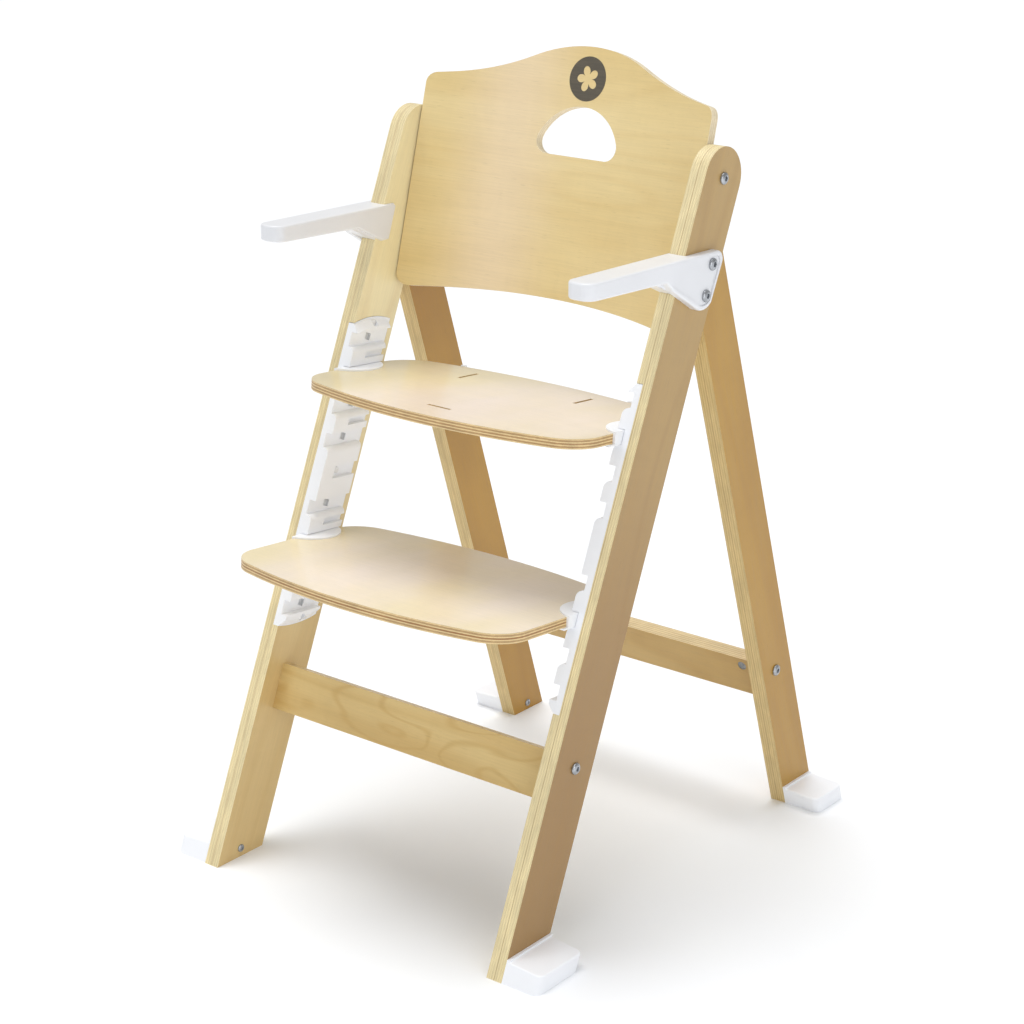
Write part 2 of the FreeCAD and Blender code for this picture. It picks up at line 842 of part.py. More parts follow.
def socket_corners(groove):
    """The square socket for a board's catch, halfway up a groove."""
    level = dim.groove_top - dim.groove_high / 2 - groove * dim.groove_pitch
    middle = level + dim.socket_middle * groove_rise
    half_wide = dim.socket_wide / 2
    half_high = dim.socket_high / 2
    return rectangle(
        (dim.socket_middle - half_wide, middle - half_high),
        (dim.socket_middle + half_wide, middle + half_high),
    )


def make_height_rails():
    plate = new_body("height_rail")
    pad(plate, "x", dim.leg_inner, rail_back - 0.1, [rail_outline(0, 0)])
    pocket(plate, "x", dim.leg_inner, dim.leg_inner + dim.socket_deep,
           [socket_corners(groove) for groove in GROOVES])
    pocket(plate, "x", dim.leg_inner, rail_back, circles=[
        (spot, dim.screw_shank + dim.play) for spot in screw_spots()
    ])
    pair(in_front_leg(plate), "height_rail")


def block_body(name, low, high, core):
    """One block between two grooves, with a moulded core open at its rear."""
    body = new_body(name)
    pad(body, "x", block_face, dim.leg_inner,
        [lean_strip(as_size(0), dim.block_width, low, high, groove_rise)])

    def is_top_inner(edge):
        """True for the long edge that a board slides over on its way in."""
        middle = edge.valueAt(sum(edge.ParameterRange) / 2)
        level = middle.z - middle.y * groove_rise.value
        return lies_at(edge, x=block_face) and abs(level - high.value) < 0.01

    round_edges(body, dim.block_round, is_top_inner)
    start, core_high = core
    middle = (low + high) / 2
    pocket(body, "x", block_face, dim.core_floor, [
        lean_strip(start, dim.block_width + 1, middle - core_high / 2,
                   middle + core_high / 2, groove_rise),
    ])
    return body


def make_rail_blocks():
    """The blocks stand proud of the rail; the boards slide in the grooves between them."""
    blocks = []
    for above, below in zip(GROOVES, GROOVES[1:]):
        high = dim.groove_top - dim.groove_high - above * dim.groove_pitch
        low = dim.groove_top - below * dim.groove_pitch
        long_block = below - above > 1
        core = (dim.core_start, dim.core_high)
        if long_block:
            core = (dim.long_core_start, dim.long_core_high)
        block = block_body("rail_block", low, high, core)
        if long_block:
            pocket(block, "x", dim.core_floor, dim.leg_inner, circles=[
                (screw_spots()[1], dim.screw_shank + dim.play)])
        blocks.append(block)
    blocks += make_rail_caps()
    pair(in_front_leg(group("rail_block_set", blocks)), "rail_blocks")


def make_rail_caps():
    """The rail's ends slope away above the top groove and below the bottom one."""
    width = dim.block_width
    lowest = dim.groove_top - dim.groove_high - GROOVES[-1] * dim.groove_pitch
    outlines = (
        [
            (0, dim.groove_top),
            (width, dim.groove_top + width * groove_rise),
            (width, dim.rail_top_rear - 2, dim.rail_top_bend),
            (0, dim.rail_top_front - 1),
        ],
        [
            (0, dim.rail_low_front + 1, dim.rail_low_bend),
            (width, dim.rail_low_rear - 1),
            (width, lowest + width * groove_rise),
            (0, lowest),
        ],
    )

    def is_arch(edge):
        return lies_at(edge, x=block_face) and edge.Curve.TypeId == "Part::GeomCircle"

    caps = []
    for outline, spot in zip(outlines, (screw_spots()[2], screw_spots()[0])):
        cap = new_body("rail_cap")
        pad(cap, "x", block_face, dim.leg_inner, [outline])
        bevel_edges(cap, dim.cap_chamfer, is_arch)
        pocket(cap, "x", block_face, dim.core_floor,
               circles=[(spot, dim.screw_head + dim.play * 2)])
        pocket(cap, "x", block_face, dim.leg_inner,
               circles=[(spot, dim.screw_shank + dim.play)])
        caps.append(cap)
    return caps


def make_rail_screws():
    screws = [
        button_bolt("rail_screw", "x", dim.core_floor, dim.screw_end, spot,
                    dim.screw_head, dim.screw_head_high, dim.screw_shank)
        for spot in screw_spots()
    ]
    both_sides("rail_screws", [in_front_leg(group("rail_screw_set", screws))])


# ---- seat and footrest ------------------------------------------------------------------


def board_outline(front, front_bend, front_corner, rear, rear_bend, rear_corner):
    """A board with bowed front and rear edges, straight sides and four round corners."""
    half = dim.board_half

    def corner_points(reach, bend, corner):
        """Where a corner arc leaves the bowed edge and where it meets the side."""
        inset = half - corner
        gap = root((bend - corner) * (bend - corner) - inset * inset)
        side_y = reach - bend + gap
        edge_x = inset * bend / (bend - corner)
        edge_y = reach - bend + gap * bend / (bend - corner)
        return edge_x, edge_y, side_y

    front_x, front_y, front_side = corner_points(front, front_bend, front_corner)
    rear_x, rear_y, rear_side = corner_points(rear, rear_bend, rear_corner)
    return [
        (-front_x, -front_y, front_bend),
        (front_x, -front_y, front_corner),
        (half, -front_side),
        (half, rear_side, rear_corner),
        (rear_x, rear_y, rear_bend),
        (-rear_x, rear_y, rear_corner),
        (-half, rear_side),
        (-half, -front_side, front_corner),
    ]


def make_board(label, groove, outline, slots):
    board = new_body(label)
    pad(board, "z", -board_top, board_top, [outline])
    if slots:
        pocket(board, "z", -board_top, board_top, slots)
    bolt_wide = dim.screw_shank + dim.play
    pocket(board, "z", -board_top, dim.flange_thick * 2, circles=[
        ((dim.tab_bolt_x, dim.tab_bolt_y), bolt_wide),
        ((-dim.tab_bolt_x, dim.tab_bolt_y), bolt_wide),
    ])
    publish(in_groove(board, groove), label)


def make_brackets(stem, groove):
    """A clip on each side of a board runs in the rail's groove."""
    edge = dim.board_half
    outer = dim.leg_inner - dim.bracket_gap
    flange = board_top + dim.flange_thick
    bracket = new_body(f"{stem}_bracket")
    web = rectangle((edge, dim.bracket_front), (outer, dim.bracket_rear))
    lens = [(edge, dim.bracket_rear, dim.flange_bend), (edge, dim.bracket_front)]
    pad(bracket, "z", -flange, flange, [web])
    pad(bracket, "z", board_top, flange, [lens])
    pad(bracket, "z", -flange, -board_top, [lens])
    tab = rectangle((dim.tab_inner, dim.tab_front), (outer, dim.tab_rear))
    pad(bracket, "z", -flange, -board_top, [tab])
    spot = (dim.tab_bolt_x, dim.tab_bolt_y)
    pocket(bracket, "z", -flange, -board_top, circles=[(spot, dim.screw_shank + dim.play)])
    pair(in_groove(bracket, groove), f"{stem}_bracket")
    bolt = button_bolt(f"{stem}_bolt", "z", -flange, dim.flange_thick, spot,
                       dim.screw_head * 1.2, dim.screw_head_high * 1.2, dim.screw_shank)
    both_sides(f"{stem}_bracket_bolts", [in_groove(group(f"{stem}_bolt_set", [bolt]), groove)])


def make_bumpers():
    """Two small buffers on the seat's rear edge."""
    half = dim.bumper_wide / 2
    bumper = new_body("bumper")
    pad(bumper, "z", dim.bumper_low, dim.bumper_high, [
        rectangle((dim.bumper_x - half, dim.bumper_start), (dim.bumper_x + half, dim.bumper_end)),
    ])
    both_sides("seat_rear_bumpers", [in_groove(bumper, SEAT_GROOVE)])


def strap_slots():
    """Two slots behind the sitter and one between the thighs take the harness straps."""
    half = dim.strap_slot_wide / 2
    slots = [
        rectangle((x - half, dim.side_slot_front), (x + half, dim.side_slot_rear))
        for x in (dim.side_slot_x, -dim.side_slot_x)
    ]
    slots.append(rectangle(
        (-dim.front_slot_half, dim.front_slot_y - half),
        (dim.front_slot_half, dim.front_slot_y + half),
    ))
    return slots


def make_boards():
    seat = board_outline(dim.seat_front, dim.seat_front_bend, dim.seat_front_corner,
                         dim.seat_rear, dim.seat_rear_bend, dim.seat_rear_corner)
    step = board_outline(dim.step_front, dim.step_front_bend, dim.step_front_corner,
                         dim.step_rear, dim.step_rear_bend, dim.step_rear_corner)
    make_board("seat_board", SEAT_GROOVE, seat, strap_slots())
    make_board("footrest_board", STEP_GROOVE, step, ())
    make_brackets("seat", SEAT_GROOVE)
    make_brackets("footrest", STEP_GROOVE)
    make_bumpers()


# ---- backrest ---------------------------------------------------------------------------


def back_outline():
    """The panel seen from the front: a low crown, sloping shoulders and an arched foot."""
    half, corner = dim.back_half, dim.back_corner
    crown, flare, arch = dim.crown_bend, dim.crown_flare, dim.back_low_bend
    slope_sine, slope_cosine = sine(dim.shoulder_slope), cosine(dim.shoulder_slope)

    crown_z = dim.back_crown - crown
    below = (dim.back_shoulder - crown_z) * slope_cosine + half * slope_sine
    beside = (dim.back_shoulder - crown_z) * slope_sine - half * slope_cosine
    both, apart = crown + flare, flare + below
    slide = beside + root(both * both - apart * apart)
    slope_x = half + slide * slope_cosine
    slope_z = dim.back_shoulder - slide * slope_sine
    join_x = (slope_x + flare * slope_sine) * crown / both
    join_z = crown_z + (slope_z + flare * slope_cosine - crown_z) * crown / both
    side_top = dim.back_shoulder - corner * (1 - slope_sine) / slope_cosine
    shoulder_x = half - corner + corner * slope_sine
    shoulder_z = side_top + corner * slope_cosine

    arch_z = dim.back_low - root(arch * arch - half * half)
    reach = arch + corner
    inset = half - corner
    side_low = arch_z + root(reach * reach - inset * inset)
    foot_x = inset * arch / reach
    foot_z = arch_z + (side_low - arch_z) * arch / reach
    return [
        (-foot_x, foot_z, -arch),
        (foot_x, foot_z, corner),
        (half, side_low),
        (half, side_top, corner),
        (shoulder_x, shoulder_z),
        (slope_x, slope_z, -flare),
        (join_x, join_z, crown),
        (-join_x, join_z, -flare),
        (-slope_x, slope_z),
        (-shoulder_x, shoulder_z, corner),
        (-half, side_top),
        (-half, side_low, corner),
    ]


def hand_hole_outline():
    """A half-moon hand hole with a flat lower side."""
    bend = dim.hand_hole_bend
    corner = dim.hand_hole_corner
    low = dim.hand_hole_low
    rise = low + corner - dim.hand_hole_middle
    inner = bend - corner
    flat = root(inner * inner - rise * rise)
    side_x = flat * bend / inner
    side_z = dim.hand_hole_middle + rise * bend / inner
    return [
        (-flat, low),
        (flat, low, corner),
        (side_x, side_z, bend),
        (-side_x, side_z, corner),
    ]


def make_backrest():
    half = dim.back_half
    bend = dim.back_bend
    outer_bend = bend + dim.back_thick
    front_y = root(bend * bend - half * half) - bend
    rear_y = root(outer_bend * outer_bend - half * half) - bend
    clear = dim.back_thick
    top = dim.back_crown + clear
    panel = new_body("backrest")
    pad(panel, "z", dim.back_low - clear, top, [[
        (-half, front_y, -bend),
        (half, front_y),
        (half, rear_y, outer_bend),
        (-half, rear_y),
    ]])
    waste = rectangle((-half - clear, dim.back_low - clear * 2), (half + clear, top + clear))
    pocket(panel, "y", front_y - clear, clear * 2, [waste, back_outline(), hand_hole_outline()])
    in_backrest(panel)
    holes = []
    for spot, wide in ((leg_top_spot, dim.thin_shank), (back_pin_spot, dim.back_pin_wide)):
        hole = rod("back_hole", "x", dim.back_bolt_end - 0.5, dim.leg_inner, spot,
                   wide + dim.play / 2)
        holes += [hole, mirrored(hole, "back_hole_twin")]
    tools = in_front_leg(group("back_holes", holes))
    publish(cut("backrest_drilled", panel, tools), "backrest_panel")


def make_back_hardware():
    """A bolt at each leg's round top and a pin lower down hold the panel's edges."""
    bolt = button_bolt("top_bolt", "x", leg_outer, dim.back_bolt_end, leg_top_spot,
                       dim.bolt_head, dim.bolt_head_high, dim.thin_shank)
    pin = rod("back_pin", "x", dim.back_bolt_end, dim.back_pin_end, back_pin_spot,
              dim.back_pin_wide)
    both_sides("top_bolts", [in_front_leg(group("top_bolt_set", [bolt]))])
    both_sides("backrest_pins", [in_front_leg(group("back_pin_set", [pin]))])


def make_armrest_hardware():
    """Two bolts hold each armrest's outer cheek to threaded inserts in the leg."""
    web = dim.arm_outer - dim.arm_web_deep
    hole = dim.bolt_shank + dim.play
    bolts, inserts = [], []
    for spot in arm_bolt_spots:
        bolts.append(button_bolt("arm_bolt", "x", web, dim.arm_bolt_end, spot,
                                 dim.bolt_head, dim.bolt_head_high, dim.bolt_shank))
        blank = rod("insert_blank", "x", dim.insert_low, dim.insert_high, spot, dim.insert_wide)
        bore = rod("insert_bore", "x", dim.insert_low - 1, dim.insert_high + 1, spot, hole)
        inserts.append(cut("insert", blank, bore))
    both_sides("armrest_bolts", [in_front_leg(group("arm_bolt_set", bolts))])
    both_sides("armrest_inserts", [in_front_leg(group("insert_set", inserts))])


# ---- armrests ---------------------------------------------------------------------------


def leg_front_at(z):
    """Y of the front leg's front edge at a height."""
    return z * tangent(dim.front_lean)


def arm_underside_at(y):
    """Height of the arm's straight underside, which falls gently towards the leg."""
    return dim.arm_low_tip - (y - dim.arm_tip) * dim.arm_low_fall


def arm_top_at(y):
    """Height of the arm's flat top, which falls gently towards the leg."""
    return dim.arm_top_tip - (y - dim.arm_tip) * dim.arm_top_fall


def make_armrests():
    """A short arm that saddles the front leg with a cheek on each face."""
    tip, top_tip, low_tip = dim.arm_tip, dim.arm_top_tip, dim.arm_low_tip
    leg_top_y = leg_front_at(arm_top_at(dim.saddle_top_y)) - dim.arm_leg_gap
    leg_low_y = leg_front_at(dim.saddle_low_z) - dim.arm_leg_gap
    nose = [(tip, top_tip), (tip, low_tip)]
    arm = new_body("armrest")
    pad(arm, "x", leg_outer, dim.arm_outer, [nose + [
        (dim.cheek_start_y, arm_underside_at(dim.cheek_start_y)),
        (dim.cheek_knee_y, dim.cheek_knee_z),
        (dim.cheek_low_y, dim.cheek_low_z, dim.cheek_low_bend),
        (dim.cheek_heel_y, dim.cheek_heel_z),
        (dim.cheek_rear_y, dim.cheek_rear_z, dim.cheek_top_bend),
        (dim.cheek_top_y, arm_top_at(dim.cheek_top_y)),
    ]])
    pad(arm, "x", dim.leg_inner, leg_outer, [nose + [
        (dim.saddle_start_y, arm_underside_at(dim.saddle_start_y)),
        (leg_low_y, dim.saddle_low_z),
        (leg_top_y, arm_top_at(leg_top_y)),
    ]])
    pad(arm, "x", dim.arm_inner, dim.leg_inner, [nose + [
        (dim.ear_start_y, arm_underside_at(dim.ear_start_y)),
        (dim.ear_knee_y, dim.ear_knee_z),
        (dim.ear_low_y, dim.ear_low_z),
        (dim.ear_heel_y, dim.ear_low_z),
        (dim.ear_rear_y, dim.ear_rear_z),
        (dim.ear_top_y, arm_top_at(dim.ear_top_y)),
    ]])

    def on_side(edge):
        return lies_at(edge, x=dim.arm_inner) or lies_at(edge, x=dim.arm_outer)

    round_edges(arm, dim.arm_corner, lambda edge: on_side(edge) and lies_at(edge, y=tip))
    corner_end = tip + dim.arm_corner
    round_edges(arm, dim.arm_round,
                lambda edge: on_side(edge) and not lies_at(edge, y=corner_end))
    pocket(arm, "x", dim.arm_outer - dim.arm_web_deep, dim.arm_outer, [[
        (dim.web_front_y, dim.web_front_z),
        (dim.web_knee_y, dim.web_knee_z),
        (dim.web_low_y, dim.web_low_z, dim.web_low_bend),
        (dim.web_heel_y, dim.web_low_z),
        (dim.web_rear_y, dim.web_rear_z, dim.web_top_bend),
        (dim.web_top_y, dim.web_top_z),
        (dim.web_front_y, dim.web_front_top_z),
    ]])
    in_chair(arm)
    holes = [
        rod("arm_hole", "x", leg_outer - 1, dim.arm_outer + 1, spot,
            dim.bolt_shank + dim.play)
        for spot in arm_bolt_spots
    ]
    tools = in_front_leg(group("arm_holes", holes))
    pair(cut("armrest_drilled", arm, tools), "armrest")


# ---- feet -------------------------------------------------------------------------------


def make_foot_pads():
    """A foot beside each leg's end widens the stance; it slopes down from a low lip."""
    rear_width = dim.rear_leg_width / cosine(dim.rear_lean)
    rows = (
        ("front", in_front_leg, as_size(0), dim.front_leg_width / cosine(dim.front_lean),
         tangent(dim.front_lean), (dim.foot_screw_y, dim.foot_screw_z)),
        ("rear", in_rear_leg, dim.rear_foot, dim.rear_foot + rear_width,
         -tangent(dim.rear_lean), (dim.rear_foot_screw_y, dim.rear_foot_screw_z)),
    )
    high = dim.pad_high
    lip_x = leg_outer + dim.pad_lip
    beyond = dim.pad_outer + 1
    screws = []
    for row, stand_in, start, end, lean, spot in rows:
        foot = new_body(f"{row}_foot_pad")
        pad(foot, "x", leg_outer, dim.pad_outer, [[
            (start, 0),
            (end, 0),
            (end + high * lean, high),
            (start + high * lean, high),
        ]])
        pocket(foot, "y", start - high, end + high, [[
            (lip_x, high - dim.pad_step),
            (beyond, high - dim.pad_fall),
            (beyond, high + 1),
            (lip_x, high + 1),
        ]])
        round_edges(foot, dim.pad_corner, is_outer_upright)
        round_edges(foot, dim.pad_round, is_sloping_rim)
        in_chair(foot)
        hole = rod("foot_hole", "x", leg_outer - 1, dim.foot_screw_end + 1, spot,
                   dim.screw_shank + dim.play / 2)
        tool = stand_in(group("foot_hole_set", [hole]))
        pair(cut(f"{row}_foot_drilled", foot, tool), f"foot_pad_{row}")
        screw = button_bolt(f"{row}_foot_screw", "x", dim.leg_inner, dim.foot_screw_end, spot,
                            dim.screw_head * 1.2, dim.screw_head_high, dim.screw_shank)
        screws.append(stand_in(group(f"{row}_foot_screw_set", [screw])))
    both_sides("foot_screws", screws)


def is_outer_upright(edge):
    """True for the two edges that climb at a foot pad's outer end."""
    first, last = edge.Vertexes[0].Point, edge.Vertexes[-1].Point
    return lies_at(edge, x=dim.pad_outer) and abs(first.z - last.z) > 1


def is_sloping_rim(edge):
    """True for the rim of a foot pad's sloping top, out from the step beside its lip."""
    first, last = edge.Vertexes[0].Point, edge.Vertexes[-1].Point
    lowest = (dim.pad_high - dim.pad_fall).value - 0.5
    highest = (dim.pad_high - dim.pad_step).value + 0.01
    inner = (leg_outer + dim.pad_lip).value
    on_top = lowest < min(first.z, last.z) and max(first.z, last.z) < highest
    return on_top and max(first.x, last.x) > inner + 0.01


# ---- build, check and write -------------------------------------------------------------


def check_document():
    """Stop if any object failed, any cut removed nothing or any piece is not sound."""
    for thing in doc.Objects:
        if {"Invalid", "Error"} & set(thing.State):
            raise RuntimeError(f"{thing.Name} failed: {thing.State}")
    for feature in cuts:
        if feature.Shape.Volume >= feature.BaseFeature.Shape.Volume - 0.1:
            raise RuntimeError(f"{feature.Name} removed nothing")
    for piece in pieces:
        if piece.Shape.isNull() or not piece.Shape.isValid():
            raise RuntimeError(f"{piece.Label} has no sound shape")


make_front_legs()
make_rear_legs()
make_crossbars()
make_crossbar_hardware()
make_leg_joint_hardware()
make_height_rails()
make_rail_blocks()
make_rail_screws()
make_boards()
make_backrest()
make_back_hardware()
make_armrests()
make_armrest_hardware()
make_foot_pads()
doc.recompute()
check_document()
for piece in pieces:
    piece.Shape.exportStep(f"parts/{piece.Label}.step")
    box = piece.Shape.BoundBox
    print(f"{piece.Label:24s} {len(piece.Shape.Solids):2d} solids {piece.Shape.Volume / 1000:8.1f} cm3"
          f"  x {box.XMin:7.1f} {box.XMax:6.1f}  y {box.YMin:7.1f} {box.YMax:6.1f}"
          f"  z {box.ZMin:6.1f} {box.ZMax:6.1f}")
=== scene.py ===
import math

import bmesh
import bpy
from mathutils import Matrix, Vector


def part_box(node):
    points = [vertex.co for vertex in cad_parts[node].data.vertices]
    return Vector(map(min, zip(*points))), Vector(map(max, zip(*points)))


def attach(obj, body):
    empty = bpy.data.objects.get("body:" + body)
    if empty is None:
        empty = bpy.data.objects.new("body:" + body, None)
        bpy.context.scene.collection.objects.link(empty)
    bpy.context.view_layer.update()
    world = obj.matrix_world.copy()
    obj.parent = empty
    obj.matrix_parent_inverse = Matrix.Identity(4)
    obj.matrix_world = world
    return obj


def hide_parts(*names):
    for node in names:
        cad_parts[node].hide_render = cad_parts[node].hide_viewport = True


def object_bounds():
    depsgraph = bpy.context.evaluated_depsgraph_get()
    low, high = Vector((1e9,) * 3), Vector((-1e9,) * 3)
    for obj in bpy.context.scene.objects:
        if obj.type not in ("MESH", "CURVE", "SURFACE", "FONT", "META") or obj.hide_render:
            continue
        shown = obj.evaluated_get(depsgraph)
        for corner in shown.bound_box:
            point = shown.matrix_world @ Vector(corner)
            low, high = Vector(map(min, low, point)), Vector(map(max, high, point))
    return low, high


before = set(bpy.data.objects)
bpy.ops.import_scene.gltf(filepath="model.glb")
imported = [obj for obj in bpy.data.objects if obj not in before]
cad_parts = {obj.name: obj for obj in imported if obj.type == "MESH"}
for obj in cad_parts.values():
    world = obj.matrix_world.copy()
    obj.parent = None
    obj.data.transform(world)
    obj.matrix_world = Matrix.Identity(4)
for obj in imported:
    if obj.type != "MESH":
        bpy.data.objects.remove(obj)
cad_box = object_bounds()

# Lengths are in metres, in the same frame as the CAD: +Z up, the chair faces -Y.

# The same leans and thicknesses as in the CAD.
FRONT_LEAN = math.radians(23.5)
REAR_LEAN = math.radians(17.3)
BOARD_TILT = math.radians(5.2)
BACK_LEAN = math.radians(15.4)

REAR_LEG_WIDTH = 0.050
LEG_PLY = 0.0014
BOARD_PLY = 0.00143
BACK_THICK = 0.010
BACK_RADIUS = 0.453

# Saw marks and glue seams on the cut edges of the plywood.
HATCH_PITCH = 0.0024
SEAM_HALF = 0.0006
SEAM_WANDER = 0.0004

# Meshes: which edges are rounded, which points are one, which faces are joined up, and the
# number of steps in a rounding.
SHARP = math.radians(32)
SAME_POINT = 2e-5
FLAT = math.radians(0.6)
EDGE_SEGMENTS = 3

# Wood textures, as features to the metre across and along the grain.
TONE_RINGS = (10, 1.5)
FLAME_SWELL = (15, 4.5)
FACE_FIBRES = (640, 16)
FACE_FLECKS = (1150, 85)
# The last is a painted sheen: faint light and dark bands across the grain.
FACE_PAINTED_SHEEN = (20, 60)
PLY_WOBBLE = (60, 22)
EDGE_FIBRES = (1500, 60)
EDGE_PORES = (2600, 1300)
EDGE_PATCHES = (90, 28)
GLUE_BREAKS = (200, 70)

# Reliefs, in metres.
FACE_RELIEF = 0.00004
EDGE_RELIEF = 0.00006
PLASTIC_RELIEF = 0.00003
ZINC_RELIEF = 0.00002
INK_RELIEF = 0.00003
PAPER_RELIEF = 0.00005

# Least cosine between the normal of a broad face and the direction it is made to face.
BROAD = 0.7
BENT_BROAD = 0.8

# Widths of the rounded edges.
LEG_EDGE = 0.0012
BAR_EDGE = 0.001
BOARD_EDGE = 0.0016
BACK_EDGE = 0.0018

# How far the ply layers are shifted through each piece's thickness.
LEG_LAYERS = 0.0002
BAR_LAYERS = 0.0004
BOARD_LAYERS = 0.005


# ---- the pieces' own frames ---------------------------------------------------------------


def place_at(angle, origin):
    """A piece's own frame: turned about the X axis by the angle, with its origin moved."""
    return Matrix.Translation(Vector(origin)) @ Matrix.Rotation(angle, 4, "X")


def front_leg_place():
    """X across the chair, Y across the front leg, Z up along it."""
    return place_at(-FRONT_LEAN, (0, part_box("front_leg_left")[0].y, 0))


def rear_leg_place():
    """X across the chair, Y across the rear leg, Z up along it."""
    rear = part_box("rear_leg_left")[1].y
    return place_at(REAR_LEAN, (0, rear - REAR_LEG_WIDTH / math.cos(REAR_LEAN), 0))


def board_place(node):
    """X across the chair, Y back along the board, Z square to it from its middle."""
    low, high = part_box(node)
    return place_at(-BOARD_TILT, (low + high) / 2)


def back_place():
    """X across the chair, Y straight back from the middle of the panel's front, Z up it."""
    turned = place_at(-BACK_LEAN, (0, 0, 0))
    corners = [turned.inverted() @ v.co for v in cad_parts["backrest_panel"].data.vertices]
    front = max(corner.y for corner in corners) - BACK_THICK
    low = min(corner.z for corner in corners)
    return turned @ Matrix.Translation((0, front, low))


ROW = Matrix.Identity(4)
FRONT_LEG = front_leg_place()
REAR_LEG = rear_leg_place()
SEAT = board_place("seat_board")
FOOTREST = board_place("footrest_board")
BACK = back_place()


# ---- node trees -----------------------------------------------------------------------------


def colour(code):
    """Scene colour of a screen colour such as "e6cf9a"."""
    shares = [int(code[i:i + 2], 16) / 255 for i in (0, 2, 4)]
    return [s / 12.92 if s <= 0.04045 else ((s + 0.055) / 1.055) ** 2.4 for s in shares] + [1]


class Tree:
    """A material's node tree, with one method for each kind of node.

    Textures follow the piece's own frame.  With a bend radius, X runs round the bent
    sheet and Y through it, so that the grain stays on the sheet."""

    def __init__(self, name, place, bend=0.0, **shader):
        self.material = bpy.data.materials.new(name)
        self.material.use_nodes = True
        self.nodes = self.material.node_tree.nodes
        self.links = self.material.node_tree.links
        self.shader = self.nodes["Principled BSDF"]
        for socket, value in shader.items():
            self.shader.inputs[socket.replace("_", " ")].default_value = value
        own = self.nodes.new("ShaderNodeMapping")
        own.vector_type = "TEXTURE"
        own.inputs["Location"].default_value = place.to_translation()
        own.inputs["Rotation"].default_value = place.to_euler()
        self.links.new(self.nodes.new("ShaderNodeTexCoord").outputs["Object"],
                       own.inputs["Vector"])
        self.place = own.outputs[0]
        if bend:
            self.place = self.unbent(bend)

    def unbent(self, radius):
        """The same coordinates with the bent sheet laid flat."""
        x, z = self.part("X"), self.part("Z")
        y = self.math("ADD", self.part("Y"), radius)
        square = self.math("ADD", self.math("MULTIPLY", x, x), self.math("MULTIPLY", y, y))
        made = self.nodes.new("ShaderNodeCombineXYZ")
        self.put(made.inputs[0], self.math("MULTIPLY", self.math("ARCTAN2", x, y), radius))
        self.put(made.inputs[1], self.math("SUBTRACT", self.math("SQRT", square), radius))
        self.put(made.inputs[2], z)
        return made.outputs[0]

    def put(self, socket, value):
        """Link a socket to another one, or set it to a constant."""
        if isinstance(value, bpy.types.NodeSocket):
            self.links.new(value, socket)
        else:
            socket.default_value = value

    def math(self, operation, *values):
        """The result of one sum, product or function."""
        made = self.nodes.new("ShaderNodeMath")
        made.operation = operation
        for socket, value in zip(made.inputs, values):
            self.put(socket, value)
        return made.outputs[0]

    def stretch(self, scale, shift=(0, 0, 0)):
        """The piece's own coordinates, scaled along each axis and moved."""
        made = self.nodes.new("ShaderNodeMapping")
        self.put(made.inputs["Vector"], self.place)
        made.inputs["Scale"].default_value = scale
        made.inputs["Location"].default_value = shift
        return made.outputs[0]

    def noise(self, vector, detail=2.0, roughness=0.5, distortion=0.0):
        """A noise whose size comes from the scale of its coordinates."""
        made = self.nodes.new("ShaderNodeTexNoise")
        self.put(made.inputs["Vector"], vector)
        made.inputs["Scale"].default_value = 1.0
        made.inputs["Detail"].default_value = detail
        made.inputs["Roughness"].default_value = roughness
        made.inputs["Distortion"].default_value = distortion
        return made.outputs[0]

    def steps(self, value):
        """A random shade for each whole number."""
        made = self.nodes.new("ShaderNodeTexWhiteNoise")
        made.noise_dimensions = "1D"
        self.put(made.inputs["W"], value)
        return made.outputs[0]

    def part(self, name):
        """One coordinate in the piece's own frame."""
        made = self.nodes.new("ShaderNodeSeparateXYZ")
        self.links.new(self.place, made.inputs[0])
        return made.outputs[name]

    def ramp(self, value, low, high, to_low=0.0, to_high=1.0):
        """A smooth step from one value to another."""
        made = self.nodes.new("ShaderNodeMapRange")
        made.interpolation_type = "SMOOTHSTEP"
        for socket, number in zip(made.inputs, (value, low, high, to_low, to_high)):
            self.put(socket, number)
        return made.outputs[0]

    def mix(self, factor, first, second, blend="MIX"):
        """Two colours, blended or multiplied by a factor."""
        made = self.nodes.new("ShaderNodeMix")
        made.data_type = "RGBA"
        made.blend_type = blend
        for socket, value in ((0, factor), (6, first), (7, second)):
            self.put(made.inputs[socket], value)
        return made.outputs[2]

    def finish(self, base, roughness, height, bump):
        """Link the colour, the roughness and a relief of the given height in metres."""
        self.put(self.shader.inputs["Base Color"], base)
        self.put(self.shader.inputs["Roughness"], roughness)
        relief = self.nodes.new("ShaderNodeBump")
        relief.inputs["Strength"].default_value = 1.0
        relief.inputs["Distance"].default_value = bump
        self.put(relief.inputs["Height"], height)
        self.links.new(relief.outputs[0], self.shader.inputs["Normal"])
        return self.material


# ---- materials ------------------------------------------------------------------------------


def along(grain, across, lengthwise):
    """Scale of a texture whose grain runs along one axis."""
    return [lengthwise if axis == grain else across for axis in "xyz"]


